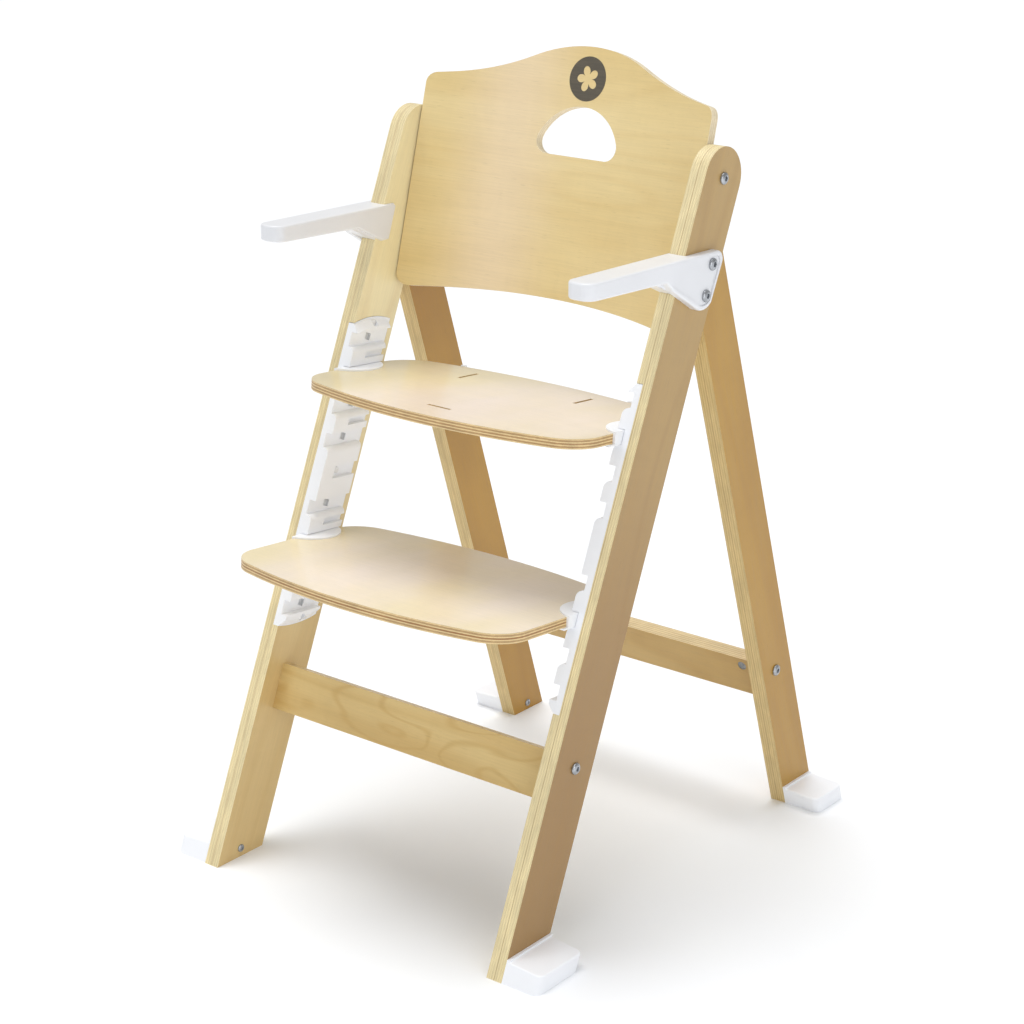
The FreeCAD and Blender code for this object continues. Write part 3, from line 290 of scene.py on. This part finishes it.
def birch_face(name, place, light, dark, grain, seed, figure=0.2, rings=7.0, gloss=0.3,
               bend=0.0, patches=(7, 2.2), painted_shade_climb=None, flame=0.0, painted_sheen_strip=None):
    """The broad face of lacquered birch ply, with soft rings, fibres and short flecks.

    Patches are spots a metre across and along the grain.  A climb makes the dark tone at
    the bottom turn to the light one between two heights: painted shade towards the floor.
    Flame adds thin wavy contour lines, and a band is an upright lighter strip of painted
    sheen: its middle, half its width and its colour."""
    tree = Tree(name, place, bend, Coat_Weight=gloss, Coat_Roughness=0.16, IOR=1.48)
    shift = (seed * 3.1, seed * 1.7, seed * 2.3)

    tone = tree.ramp(tree.noise(tree.stretch(along(grain, *patches), shift), 3), 0.3, 0.7)
    if painted_shade_climb:
        # Painted shade: the tone darkens towards the bottom, from the light tone high up to the
        # dark one low down.
        height = tree.ramp(tree.part("Z"), *painted_shade_climb, 1.0, 0.0)
        tone = tree.ramp(tree.math("ADD", height, tree.math("MULTIPLY", tone, 0.35)), 0.0, 1.35)
    base = tree.mix(tone, colour(light), colour(dark))

    hill = tree.noise(tree.stretch(along(grain, *TONE_RINGS), shift), 1.5, 0.45, 0.5)
    ring = tree.math("PINGPONG", tree.math("MULTIPLY", hill, rings * 3), 1.0)
    ring = tree.ramp(ring, 0.35, 1.0)
    ring_colour = [value * shade for value, shade in zip(colour(dark), (0.88, 0.80, 0.66, 1))]
    base = tree.mix(tree.math("MULTIPLY", ring, figure), base, ring_colour)

    if flame:
        swell = tree.noise(tree.stretch(along(grain, *FLAME_SWELL), shift), 1.8, 0.5, 0.6)
        line = tree.math("PINGPONG", tree.math("MULTIPLY", swell, 20), 1.0)
        line = tree.ramp(line, 0.62, 1.0)
        base = tree.mix(tree.math("MULTIPLY", line, flame), base, ring_colour)
    # Painted sheen: a lighter upright strip where the lights would reflect on the glossy face.
    if painted_sheen_strip:
        middle, half, tint = painted_sheen_strip
        away = tree.math("ABSOLUTE", tree.math("SUBTRACT", tree.part("X"), middle))
        base = tree.mix(tree.ramp(away, 0.0, half, 0.7, 0.0), base, colour(tint))

    fibre = tree.noise(tree.stretch(along(grain, *FACE_FIBRES), shift), 4, 0.62)
    fibre_shade = tree.ramp(fibre, 0.34, 0.68, 0.97, 1.02)
    fleck = tree.noise(tree.stretch(along(grain, *FACE_FLECKS), shift), 2, 0.5)
    fleck_shade = tree.ramp(fleck, 0.60, 0.78, 1.0, 0.90)
    # Painted sheen: faint lighter and darker bands across the grain, standing in for the
    # lacquer's sheen.
    painted_sheen_noise = tree.noise(tree.stretch(along(grain, *FACE_PAINTED_SHEEN), shift), 2, 0.5, 0.8)
    painted_sheen_shade = tree.ramp(painted_sheen_noise, 0.3, 0.7, 0.99, 1.008)
    shade = tree.math("MULTIPLY", tree.math("MULTIPLY", fibre_shade, fleck_shade), painted_sheen_shade)
    base = tree.mix(1.0, base, grey(tree, shade), "MULTIPLY")

    rough = tree.ramp(fibre, 0.3, 0.7, 0.36, 0.50)
    height = tree.math("SUBTRACT", fibre, tree.ramp(fleck, 0.58, 0.8))
    return tree.finish(base, rough, height, FACE_RELIEF)


def grey(tree, shade):
    """One number as a colour."""
    made = tree.nodes.new("ShaderNodeCombineColor")
    for socket in made.inputs[:3]:
        tree.links.new(shade, socket)
    return made.outputs[0]


def birch_edge(name, place, light, dark, glue, across, offset, ply, run, seed,
               glue_width=0.16, glue_mix=0.55, cross_mix=0.6, bend=0.0, hatch=0.0, seams=()):
    """The cut edge of birch ply: long and cross plies take turns, with glue between them.

    Across is the axis through the thickness and run the one along the edge.  Hatch is the
    depth of slanting saw marks, and a seam is a darker glue line at a place across."""
    tree = Tree(name, place, bend, Coat_Weight=0.15, Coat_Roughness=0.3, IOR=1.48)
    shift = (seed * 2.9, seed * 4.3, seed * 1.1)
    wobble = tree.noise(tree.stretch(along(run, *PLY_WOBBLE), shift), 3)
    layer = tree.math("DIVIDE", tree.math("ADD", tree.part(across), offset), ply)
    layer = tree.math("ADD", layer, tree.math("MULTIPLY", wobble, 0.09))
    index = tree.math("FLOOR", layer)
    inside = tree.math("FRACT", layer)
    tone = tree.steps(tree.math("ADD", index, seed))

    is_cross = tree.math("FLOORED_MODULO", index, 2.0)
    cross = tree.math("MULTIPLY", is_cross, tree.ramp(tone, 0, 1, cross_mix * 0.65, cross_mix))
    base = tree.mix(cross, colour(light), colour(dark))

    fibre = tree.noise(tree.stretch(along(run, *EDGE_FIBRES), shift), 4, 0.6)
    pores = tree.noise(tree.stretch(along(run, *EDGE_PORES), shift), 2, 0.6)
    grain = tree.ramp(fibre, 0.32, 0.7, 0.86, 1.06)
    speckle = tree.ramp(pores, 0.50, 0.74, 1.0, 0.72)
    speckle = tree.math("ADD", 1.0, tree.math("MULTIPLY", is_cross,
                                              tree.math("SUBTRACT", speckle, 1.0)))
    patch = tree.noise(tree.stretch(along(run, *EDGE_PATCHES), shift), 2)
    patch = tree.ramp(patch, 0.3, 0.7, 0.93, 1.05)
    shade = tree.math("MULTIPLY", tree.math("MULTIPLY", grain, speckle), patch)
    if hatch:
        slant = tree.math("ADD", tree.part(across), tree.part(run.upper()))
        slant = tree.math("ADD", slant, tree.math("MULTIPLY", wobble, HATCH_PITCH))
        mark = tree.math("SINE", tree.math("MULTIPLY", slant, math.tau / HATCH_PITCH))
        mark = tree.math("MULTIPLY", mark, tree.ramp(patch, 0.93, 1.05, 0.3, 1.0))
        shade = tree.math("MULTIPLY", shade,
                          tree.math("ADD", 1.0, tree.math("MULTIPLY", mark, hatch)))
    base = tree.mix(1.0, base, grey(tree, shade), "MULTIPLY")

    near = tree.math("PINGPONG", inside, 0.5)
    breaks = tree.noise(tree.stretch(along(run, *GLUE_BREAKS), shift), 2)
    broken = tree.ramp(breaks, 0.3, 0.6)
    line = tree.ramp(near, 0.0, glue_width, 1.0, 0.0)
    line = tree.math("MULTIPLY", tree.math("MULTIPLY", line, broken), glue_mix)
    base = tree.mix(line, base, colour(glue))
    for seam in seams:
        away = tree.math("SUBTRACT", tree.part(across), seam)
        away = tree.math("ADD", away, tree.math("MULTIPLY", wobble, SEAM_WANDER))
        dark_line = tree.ramp(tree.math("ABSOLUTE", away), 0.0, SEAM_HALF, 0.62, 0.0)
        base = tree.mix(dark_line, base, colour(glue))

    rough = tree.ramp(pores, 0.3, 0.7, 0.42, 0.62)
    height = tree.math("SUBTRACT", fibre, line)
    return tree.finish(base, rough, height, EDGE_RELIEF)


def plastic(name, code, seed):
    """Smooth white moulded plastic with a faint satin grain."""
    tree = Tree(name, ROW, Coat_Weight=0.12, Coat_Roughness=0.2, IOR=1.5)
    shift = (seed, seed * 2, seed * 3)
    cloud = tree.noise(tree.stretch((14, 14, 14), shift), 3)
    base = tree.mix(tree.ramp(cloud, 0.3, 0.7), colour(code),
                    [value * 0.965 for value in colour(code)[:3]] + [1])
    satin = tree.noise(tree.stretch((2200, 2200, 2200), shift), 2, 0.6)
    sink = tree.noise(tree.stretch((70, 70, 70), shift), 1)
    rough = tree.ramp(satin, 0.3, 0.7, 0.30, 0.42)
    height = tree.math("ADD", tree.math("MULTIPLY", satin, 0.25), sink)
    return tree.finish(base, rough, height, PLASTIC_RELIEF)


def zinc(name, code, seed, rough_low=0.2, rough_high=0.42):
    """Zinc-plated steel with faint drawing marks and darker patches at random."""
    tree = Tree(name, ROW, Metallic=1.0)
    shift = (seed, seed, seed)
    cloud = tree.noise(tree.stretch((260, 260, 260), shift), 3)
    marks = tree.noise(tree.stretch((2400, 500, 2400), shift), 3, 0.6)
    base = tree.mix(tree.ramp(cloud, 0.3, 0.7), colour(code),
                    [value * 0.72 for value in colour(code)[:3]] + [1])
    rough = tree.ramp(marks, 0.3, 0.7, rough_low, rough_high)
    return tree.finish(base, rough, marks, ZINC_RELIEF)


def print_ink(name, code):
    """Matt ink that lets a little of the grain show through."""
    tree = Tree(name, BACK, Coat_Weight=0.25, Coat_Roughness=0.2, IOR=1.48)
    fibre = tree.noise(tree.stretch((30, 640, 640)), 4, 0.6)
    base = tree.mix(tree.ramp(fibre, 0.35, 0.7), colour(code),
                    [value * 1.35 for value in colour(code)[:3]] + [1])
    rough = tree.ramp(fibre, 0.3, 0.7, 0.42, 0.55)
    return tree.finish(base, rough, fibre, INK_RELIEF)


# ---- meshes ---------------------------------------------------------------------------------


def copied_mesh(node, place):
    """A CAD node's mesh in a piece's own frame, with its flat faces joined up again."""
    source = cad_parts[node].data
    inverse = place.inverted()
    mesh = bpy.data.meshes.new(node + "_shape")
    mesh.from_pydata([inverse @ v.co for v in source.vertices], [],
                     [tuple(p.vertices) for p in source.polygons])
    shape = bmesh.new()
    shape.from_mesh(mesh)
    bmesh.ops.remove_doubles(shape, verts=shape.verts, dist=SAME_POINT)
    bmesh.ops.dissolve_limit(shape, angle_limit=FLAT, verts=shape.verts, edges=shape.edges,
                             use_dissolve_boundaries=False)
    bmesh.ops.recalc_face_normals(shape, faces=shape.faces)
    shape.to_mesh(mesh)
    shape.free()
    return mesh


def new_piece(name, mesh, place, body, nodes, materials):
    """An object made in a piece's own frame that stands for CAD nodes."""
    mesh.transform(place)
    piece = bpy.data.objects.new(name, mesh)
    bpy.context.scene.collection.objects.link(piece)
    for material in materials:
        mesh.materials.append(material)
    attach(piece, body)
    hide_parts(*nodes)
    return piece


def edged_piece(node, place, body, materials, pick, width):
    """A CAD node's shape with its sharp edges rounded.

    pick(face) gives a face's material number, and width is the rounding's in metres."""
    mesh = copied_mesh(node, place)
    shape = bmesh.new()
    shape.from_mesh(mesh)
    share = shape.edges.layers.float.new("bevel_weight_edge")
    for edge in shape.edges:
        if len(edge.link_faces) == 2 and edge.calc_face_angle(0) > SHARP:
            edge[share] = 1.0
            edge.smooth = True
    for face in shape.faces:
        face.smooth = True
        face.material_index = pick(face)
    shape.to_mesh(mesh)
    shape.free()
    piece = new_piece(node + "_skin", mesh, place, body, [node], materials)
    bevel = piece.modifiers.new("rounding", "BEVEL")
    bevel.limit_method = "WEIGHT"
    bevel.width = width
    bevel.segments = EDGE_SEGMENTS
    bevel.use_clamp_overlap = True
    bevel.harden_normals = True
    bevel.miter_outer = "MITER_ARC"
    return piece


def first(face):
    """The same material for every face."""
    return 0


# ---- bolts ----------------------------------------------------------------------------------


def loose_parts(node, place):
    """The corner points of each separate solid in a CAD node, in a piece's own frame."""
    shape = bmesh.new()
    shape.from_mesh(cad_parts[node].data)
    bmesh.ops.remove_doubles(shape, verts=shape.verts, dist=SAME_POINT)
    inverse = place.inverted()
    left = set(shape.verts)
    parts = []
    while left:
        stack = [left.pop()]
        found = []
        while stack:
            vertex = stack.pop()
            found.append(inverse @ vertex.co)
            for edge in vertex.link_edges:
                other = edge.other_vert(vertex)
                if other in left:
                    left.remove(other)
                    stack.append(other)
        parts.append(found)
    shape.free()
    return sorted(parts, key=lambda points: tuple(round(c, 5) for c in points_middle(points)))


def points_middle(points):
    """The middle of the points' box."""
    return Vector([(min(p[i] for p in points) + max(p[i] for p in points)) / 2 for i in range(3)])


def bolt_sizes(points, axis):
    """Place, length and radii of a bolt that lies along one of its frame's axes."""
    number = "xyz".index(axis)
    middle = points_middle(points)
    heights = [p[number] for p in points]
    low, high = min(heights), max(heights)

    def radius(point):
        return math.dist([point[i] for i in range(3) if i != number],
                         [middle[i] for i in range(3) if i != number])

    head = max(radius(p) for p in points)
    wide = [p[number] for p in points if radius(p) > head * 0.9]
    outward = 1 if high - min(wide) < max(wide) - low else -1
    thin = [radius(p) for p in points if p[number] == (low if outward == 1 else high)]
    middle[number] = min(wide) if outward == 1 else max(wide)
    length = middle[number] - low if outward == 1 else high - middle[number]
    return middle, outward, length, head, max(thin), max(wide) - min(wide)


TURNS = 48
BOLT_SHARP = math.radians(38)
DOME_STEPS = 8
DOME_TURN = math.radians(66)
CROWN_SHARE = 0.28


def hexagon_radius(angle, inner):
    """Distance from the middle of a hexagon to its side at an angle."""
    return inner / math.cos((angle + math.pi / 6) % (math.pi / 3) - math.pi / 6)


def bolt_rings(length, head, shank, high, socket):
    """Heights and radius functions of a button-head bolt, from its tip to its socket's floor.

    The numbers are shares of the head's height and of the head, shank and socket radii."""
    crown = CROWN_SHARE * high
    rings = [(-length, 0.0), (-length, shank * 0.86), (-length + shank * 0.2, shank),
             (0.0, shank), (0.0, head * 0.96), (high * 0.03, head * 0.985), (crown * 0.5, head)]
    for step in range(DOME_STEPS + 1):
        turn = DOME_TURN * step / DOME_STEPS
        rings.append((crown + (high - crown) * math.sin(turn) / math.sin(DOME_TURN),
                      head * math.cos(turn) ** 0.75))
    rings = [(z, lambda angle, r=r: r) for z, r in rings]
    for z, share in ((high, 1.10), (high * 0.93, 1.02), (high * 0.45, 1.0), (high * 0.36, 0.96)):
        rings.append((z, lambda angle, s=share: hexagon_radius(angle, socket) * s))
    rings.append((high * 0.22, lambda angle: 0.0))
    return rings


def add_turned(shape, rings, place):
    """A solid of revolution, or one with hexagon rings, about its own Z axis."""
    rows = []
    for z, radius in rings:
        angles = [math.tau * i / TURNS for i in range(TURNS)]
        if radius(0) == 0:
            rows.append([shape.verts.new(place @ Vector((0, 0, z)))] * TURNS)
            continue
        rows.append([shape.verts.new(place @ Vector((radius(a) * math.cos(a),
                                                     radius(a) * math.sin(a), z)))
                     for a in angles])
    for lower, upper in zip(rows, rows[1:]):
        for i in range(TURNS):
            j = (i + 1) % TURNS
            corners = []
            for vertex in (lower[i], lower[j], upper[j], upper[i]):
                if vertex not in corners:
                    corners.append(vertex)
            face = shape.faces.new(corners)
            face.smooth = True


TO_AXIS = {
    "x": Matrix.Rotation(math.radians(90), 4, "Y"),
    "y": Matrix.Rotation(math.radians(-90), 4, "X"),
    "z": Matrix.Identity(4),
}
FLIP = Matrix.Rotation(math.pi, 4, "X")


def bolts(node, axis, place, body, material, socket_share=0.36):
    """Button-head bolts with a hexagon socket in place of a node's plain ones."""
    shape = bmesh.new()
    for points in loose_parts(node, place):
        middle, outward, length, head, shank, high = bolt_sizes(points, axis)
        own = Matrix.Translation(middle) @ TO_AXIS[axis]
        if outward < 0:
            own = own @ FLIP
        add_turned(shape, bolt_rings(length, head, shank, high, head * socket_share), own)
    bmesh.ops.recalc_face_normals(shape, faces=shape.faces)
    mesh = bpy.data.meshes.new(node + "_turned")
    shape.to_mesh(mesh)
    shape.free()
    mesh.set_sharp_from_angle(angle=BOLT_SHARP)
    return new_piece(node + "_detailed", mesh, place, body, [node], [material])


def dress(node, material):
    """A CAD node that stays as it is, with a finished material."""
    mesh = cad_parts[node].data
    mesh.materials.clear()
    mesh.materials.append(material)


# ---- wood -----------------------------------------------------------------------------------

SIDES = ("left", "right")
SIGN = {"left": 1, "right": -1}
LEG_SEAM = 0.187


def leg_faces(sign):
    """Outer broad face, inner broad face or ply edge."""
    def pick(face):
        if abs(face.normal.x) < BROAD:
            return 2
        return 0 if face.normal.x * sign > 0 else 1
    return pick


def make_legs():
    """Four plywood legs: a tone for each broad face, with the plies on the edges."""
    faces = {
        ("front", "left"): (("b89860", "a17d49"), ("e4cf9d", "dac187")),
        ("front", "right"): (("d6bd88", "c8aa70"), ("f4e8bc", "d4b77d")),
        ("rear", "left"): (("bb9039", "ab7f2f"), ("c59b48", "b48636")),
        ("rear", "right"): (("c7a263", "b88f50"), ("c09238", "a57827")),
    }
    for number, ((row, side), (outer, inner)) in enumerate(faces.items()):
        name = f"{row}_leg_{side}"
        place = FRONT_LEG if row == "front" else REAR_LEG
        edge = ("efdfb0", "dac289") if row == "front" else ("dec58c", "bf9b54")
        # The front legs get painted shade, darker towards the floor.
        painted_shade_climb = (0.15, 0.65) if row == "front" else None
        materials = [
            birch_face(name + "_outer", place, *outer, "z", seed=number + 1.3, figure=0.16,
                       rings=4, painted_shade_climb=painted_shade_climb),
            birch_face(name + "_inner", place, *inner, "z", seed=number + 5.7, figure=0.18,
                       rings=5, painted_shade_climb=painted_shade_climb),
            birch_edge(name + "_ply", place, *edge, "a07a4c", "X", LEG_LAYERS, LEG_PLY, "z",
                       seed=number * 20 + 3, glue_width=0.13, glue_mix=0.32, cross_mix=0.4,
                       hatch=0.07, seams=[SIGN[side] * LEG_SEAM]),
        ]
        edged_piece(name, place, "frame", materials, leg_faces(SIGN[side]), LEG_EDGE)


def bar_faces(face):
    """Broad face or ply edge of a crossbar."""
    return 0 if abs(face.normal.y) > BROAD else 1


def make_crossbars():
    """The front crossbar has a flamed face, and the rear one a plain one."""
    for name, place, seed, figure, flame, tones in (
        ("front_crossbar", FRONT_LEG, 11.4, 0.35, 0.5, ("e4cb8e", "d5b574")),
        ("rear_crossbar", REAR_LEG, 17.9, 0.25, 0.0, ("cfb073", "bd9957")),
    ):
        materials = [
            birch_face(name + "_face", place, *tones, "x", seed, figure, rings=8, flame=flame),
            birch_edge(name + "_ply", place, "e6d3a6", "cbac76", "a07a4c", "Y", BAR_LAYERS,
                       LEG_PLY, "x", seed=seed * 3),
        ]
        edged_piece(name, place, "frame", materials, bar_faces, BAR_EDGE)


def board_faces(face):
    """Broad face or ply edge of a board."""
    return 0 if abs(face.normal.z) > BROAD else 1


def make_boards():
    """Seat and footrest, pale and glossy, with dark cross plies on the edge."""
    for name, place, body, seed in (("seat_board", SEAT, "seat", 23.1),
                                    ("footrest_board", FOOTREST, "footrest", 29.6)):
        materials = [
            birch_face(name + "_face", place, "f0e2d6", "ebdcb2", "x", seed, figure=0.03,
                       rings=4, gloss=0.5, patches=(3, 6)),
            birch_edge(name + "_ply", place, "e8cd96", "a87440", "6f4224", "Z", BOARD_LAYERS,
                       BOARD_PLY, "x", seed=round(seed * 2), glue_width=0.16, glue_mix=0.8,
                       cross_mix=0.95),
        ]
        edged_piece(name, place, body, materials, board_faces, BOARD_EDGE)


def back_faces(face):
    """The bent panel's faces point to or from the axis of its bend."""
    middle = face.calc_center_median()
    outward = Vector((middle.x, middle.y + BACK_RADIUS, 0)).normalized()
    return 0 if abs(face.normal.dot(outward)) > BENT_BROAD else 1


def make_backrest():
    """The bent panel, with its grain running round the bend."""
    materials = [
        # The lighter upright strip 80 mm off the middle is a painted sheen of the lights on the
        # bent glossy panel.
        birch_face("backrest_face", BACK, "ecd69e", "e0c483", "x", seed=37.2, figure=0.16,
                   rings=6, bend=BACK_RADIUS, painted_sheen_strip=(-0.080, 0.085, "f2dcba")),
        birch_edge("backrest_ply", BACK, "f1e4c4", "dcc398", "b89468", "Y", BOARD_PLY * 2,
                   BOARD_PLY, "x", seed=41, bend=BACK_RADIUS),
    ]
    edged_piece("backrest_panel", BACK, "frame", materials, back_faces, BACK_EDGE)


# ---- emblem ---------------------------------------------------------------------------------

# The hole and the petals are shares of the disc's radius, and the power rounds the petals.
EMBLEM_RADIUS = 0.0222
EMBLEM_HEIGHT = 0.2326
EMBLEM_PETALS = 5
EMBLEM_POINTS = 24
EMBLEM_RINGS = 5
EMBLEM_HOLE = 0.22
EMBLEM_PETAL = 0.36
EMBLEM_POWER = 0.7
EMBLEM_THICK = 0.00008


def make_emblem():
    """A plain dark disc with a five-petal opening, printed on the panel's front."""
    points = EMBLEM_PETALS * EMBLEM_POINTS
    shape = bmesh.new()
    rows = []
    for ring in range(EMBLEM_RINGS):
        share = ring / (EMBLEM_RINGS - 1)
        row = []
        for i in range(points):
            angle = math.tau * i / points
            petal = abs(math.cos(EMBLEM_PETALS * angle / 2 + math.pi / 4)) ** EMBLEM_POWER
            inner = EMBLEM_RADIUS * (EMBLEM_HOLE + EMBLEM_PETAL * petal)
            radius = inner + (EMBLEM_RADIUS - inner) * share
            x = radius * math.sin(angle)
            z = EMBLEM_HEIGHT + radius * math.cos(angle)
            front = BACK_RADIUS - EMBLEM_THICK
            y = math.sqrt(front ** 2 - x ** 2) - BACK_RADIUS
            row.append(shape.verts.new((x, y, z)))
        rows.append(row)
    for inner_row, outer_row in zip(rows, rows[1:]):
        for i in range(points):
            j = (i + 1) % points
            shape.faces.new((inner_row[i], inner_row[j], outer_row[j], outer_row[i]))
    mesh = bpy.data.meshes.new("emblem_print")
    shape.to_mesh(mesh)
    shape.free()
    piece = new_piece("emblem_print", mesh, BACK, "frame", [],
                      [print_ink("emblem_ink", "4d4638")])
    thick = piece.modifiers.new("ink", "SOLIDIFY")
    thick.thickness = EMBLEM_THICK
    thick.offset = 0


# ---- plastic and metal ----------------------------------------------------------------------

# The middle of the row of sockets and half a socket's opening, across the rail. The faces inside
# these sockets get painted shade.
SOCKET_MIDDLE = 0.0255
SOCKET_HALF = 0.0042


def rail_socket_shade(face):
    """The small square sockets halfway across the rail get a greyer plastic inside: painted shade
    in the recesses.
    """
    return int(all(abs(v.co.y - SOCKET_MIDDLE) < SOCKET_HALF for v in face.verts))


def make_plastic():
    """Armrests, rails, clips, foot pads and bumpers."""
    white = plastic("white_plastic", "e7e8eb", 1.0)
    rails = plastic("rail_plastic", "f8fafe", 2.0)
    # A greyer copy of the rail plastic: painted shade for the inside of the rail's sockets.
    socket_shade = plastic("socket_shade_plastic", "e2e4e6", 3.0)
    for side in SIDES:
        for node, place, body, material, width in (
            ("armrest", ROW, "frame", white, 0.0006),
            ("rail_blocks", FRONT_LEG, "frame", rails, 0.0007),
            ("seat_bracket", SEAT, "seat", rails, 0.0004),
            ("footrest_bracket", FOOTREST, "footrest", rails, 0.0004),
            ("foot_pad_front", ROW, "frame", rails, 0.0008),
            ("foot_pad_rear", ROW, "frame", rails, 0.0008),
        ):
            edged_piece(f"{node}_{side}", place, body, [material], first, width)
        edged_piece(f"height_rail_{side}", FRONT_LEG, "frame", [rails, socket_shade],
                    rail_socket_shade, 0.0005)
    edged_piece("seat_rear_bumpers", SEAT, "seat", [rails], first, 0.0008)


def make_metal():
    """Bolts and screws made anew, and the hidden hardware as it is."""
    bright = zinc("bolt_zinc", "b9bcc0", 1.0)
    dull = zinc("nut_zinc", "9da0a3", 4.0, rough_low=0.35, rough_high=0.55)
    enamel = plastic("screw_enamel", "eeeeee", 6.0)
    peg = birch_face("dowel_birch", ROW, "e2c893", "c9a468", "x", seed=51.0, figure=0.1)
    for node, axis, place, body in (
        ("crossbar_bolts", "x", ROW, "frame"),
        ("leg_joint_bolts", "y", FRONT_LEG, "frame"),
        ("top_bolts", "x", ROW, "frame"),
        ("armrest_bolts", "x", ROW, "frame"),
        ("seat_bracket_bolts", "z", SEAT, "seat"),
        ("footrest_bracket_bolts", "z", FOOTREST, "footrest"),
        ("foot_screws", "x", ROW, "frame"),
    ):
        bolts(node, axis, place, body, bright)
    bolts("rail_screws", "x", ROW, "frame", enamel, socket_share=0.16)
    for node in ("crossbar_barrel_nuts", "leg_joint_barrel_nuts", "backrest_pins",
                 "armrest_inserts"):
        dress(node, dull)
    for node in ("crossbar_dowels", "leg_joint_dowels"):
        dress(node, peg)


# ---- studio ---------------------------------------------------------------------------------

CAMERA_PLACE = (1.4711, -1.8276, 1.1700)
CAMERA_TURN = math.radians(38.94)
CAMERA_RISE = math.radians(19.49)
CAMERA_ROLL = math.radians(-0.347)
CAMERA_SENSOR = 36
CAMERA_LENS = 86.25
CAMERA_SHIFT = (0.0004, 0.0092)

FLOOR_HALF = 60.0
AIM = (0, 0, 0.4)
SKY_STRENGTH = 0.49
SUN_STRENGTH = 2.0
SUN_ANGLE = math.radians(40)
SUN_FROM = Vector((-0.2, 0.04, 1))


def make_camera():
    """A long lens in front of the chair's left side, a little above it."""
    turn, rise, roll = CAMERA_TURN, CAMERA_RISE, CAMERA_ROLL
    back = Vector((math.sin(turn) * math.cos(rise), -math.cos(turn) * math.cos(rise),
                   math.sin(rise)))
    level = Vector((math.cos(turn), math.sin(turn), 0))
    up = back.cross(level)
    right = level * math.cos(roll) + up * math.sin(roll)
    up = up * math.cos(roll) - level * math.sin(roll)
    axes = Matrix((right, up, back)).transposed().to_4x4()
    camera = bpy.data.objects.new("camera", bpy.data.cameras.new("camera"))
    bpy.context.scene.collection.objects.link(camera)
    camera.matrix_world = Matrix.Translation(CAMERA_PLACE) @ axes
    camera.data.sensor_width = CAMERA_SENSOR
    camera.data.lens = CAMERA_LENS
    camera.data.shift_x, camera.data.shift_y = CAMERA_SHIFT
    bpy.context.scene.camera = camera


def area_light(name, place, target, size, power, tint=(1, 1, 1)):
    """A round soft light that looks from its place to a target."""
    light = bpy.data.lights.new(name, "AREA")
    light.shape = "DISK"
    light.size = size
    light.energy = power
    light.color = tint
    lamp = bpy.data.objects.new(name, light)
    bpy.context.scene.collection.objects.link(lamp)
    lamp.location = place
    lamp.rotation_euler = (Vector(target) - Vector(place)).to_track_quat("-Z", "Y").to_euler()


def make_studio():
    """A pale floor under a white sky, two soft lights and a broad sun."""
    tree = Tree("floor_paper", ROW, IOR=1.4)
    cloud = tree.noise(tree.stretch((3, 3, 3)), 3)
    base = tree.mix(tree.ramp(cloud, 0.3, 0.7), colour("f7f9fb"), colour("f5f7fa"))
    fine = tree.noise(tree.stretch((600, 600, 600)), 3)
    rough = tree.ramp(fine, 0.3, 0.7, 0.85, 0.95)
    paper = tree.finish(base, rough, fine, PAPER_RELIEF)

    half = FLOOR_HALF
    mesh = bpy.data.meshes.new("floor")
    corners = [(-half, -half, 0), (half, -half, 0), (half, half, 0), (-half, half, 0)]
    mesh.from_pydata(corners, [], [(0, 1, 2, 3)])
    mesh.materials.append(paper)
    floor = bpy.data.objects.new("floor", mesh)
    floor.location.z = cad_box[0][2]
    bpy.context.scene.collection.objects.link(floor)

    world = bpy.data.worlds.new("studio")
    world.use_nodes = True
    background = world.node_tree.nodes["Background"]
    background.inputs["Color"].default_value = (1, 1, 1, 1)
    background.inputs["Strength"].default_value = SKY_STRENGTH
    bpy.context.scene.world = world

    area_light("key", (-2.2, -2.6, 2.2), AIM, size=2.0, power=9)
    area_light("fill", (2.8, -1.3, 1.3), AIM, size=2.4, power=22, tint=(0.97, 0.98, 1.0))
    sun = bpy.data.lights.new("soft_box", "SUN")
    sun.energy = SUN_STRENGTH
    sun.angle = SUN_ANGLE
    lamp = bpy.data.objects.new("soft_box", sun)
    lamp.rotation_euler = SUN_FROM.to_track_quat("Z", "Y").to_euler()
    bpy.context.scene.collection.objects.link(lamp)
    bpy.context.scene.view_settings.view_transform = "Standard"


make_legs()
make_crossbars()
make_boards()
make_backrest()
make_emblem()
make_plastic()
make_metal()
make_camera()
make_studio()
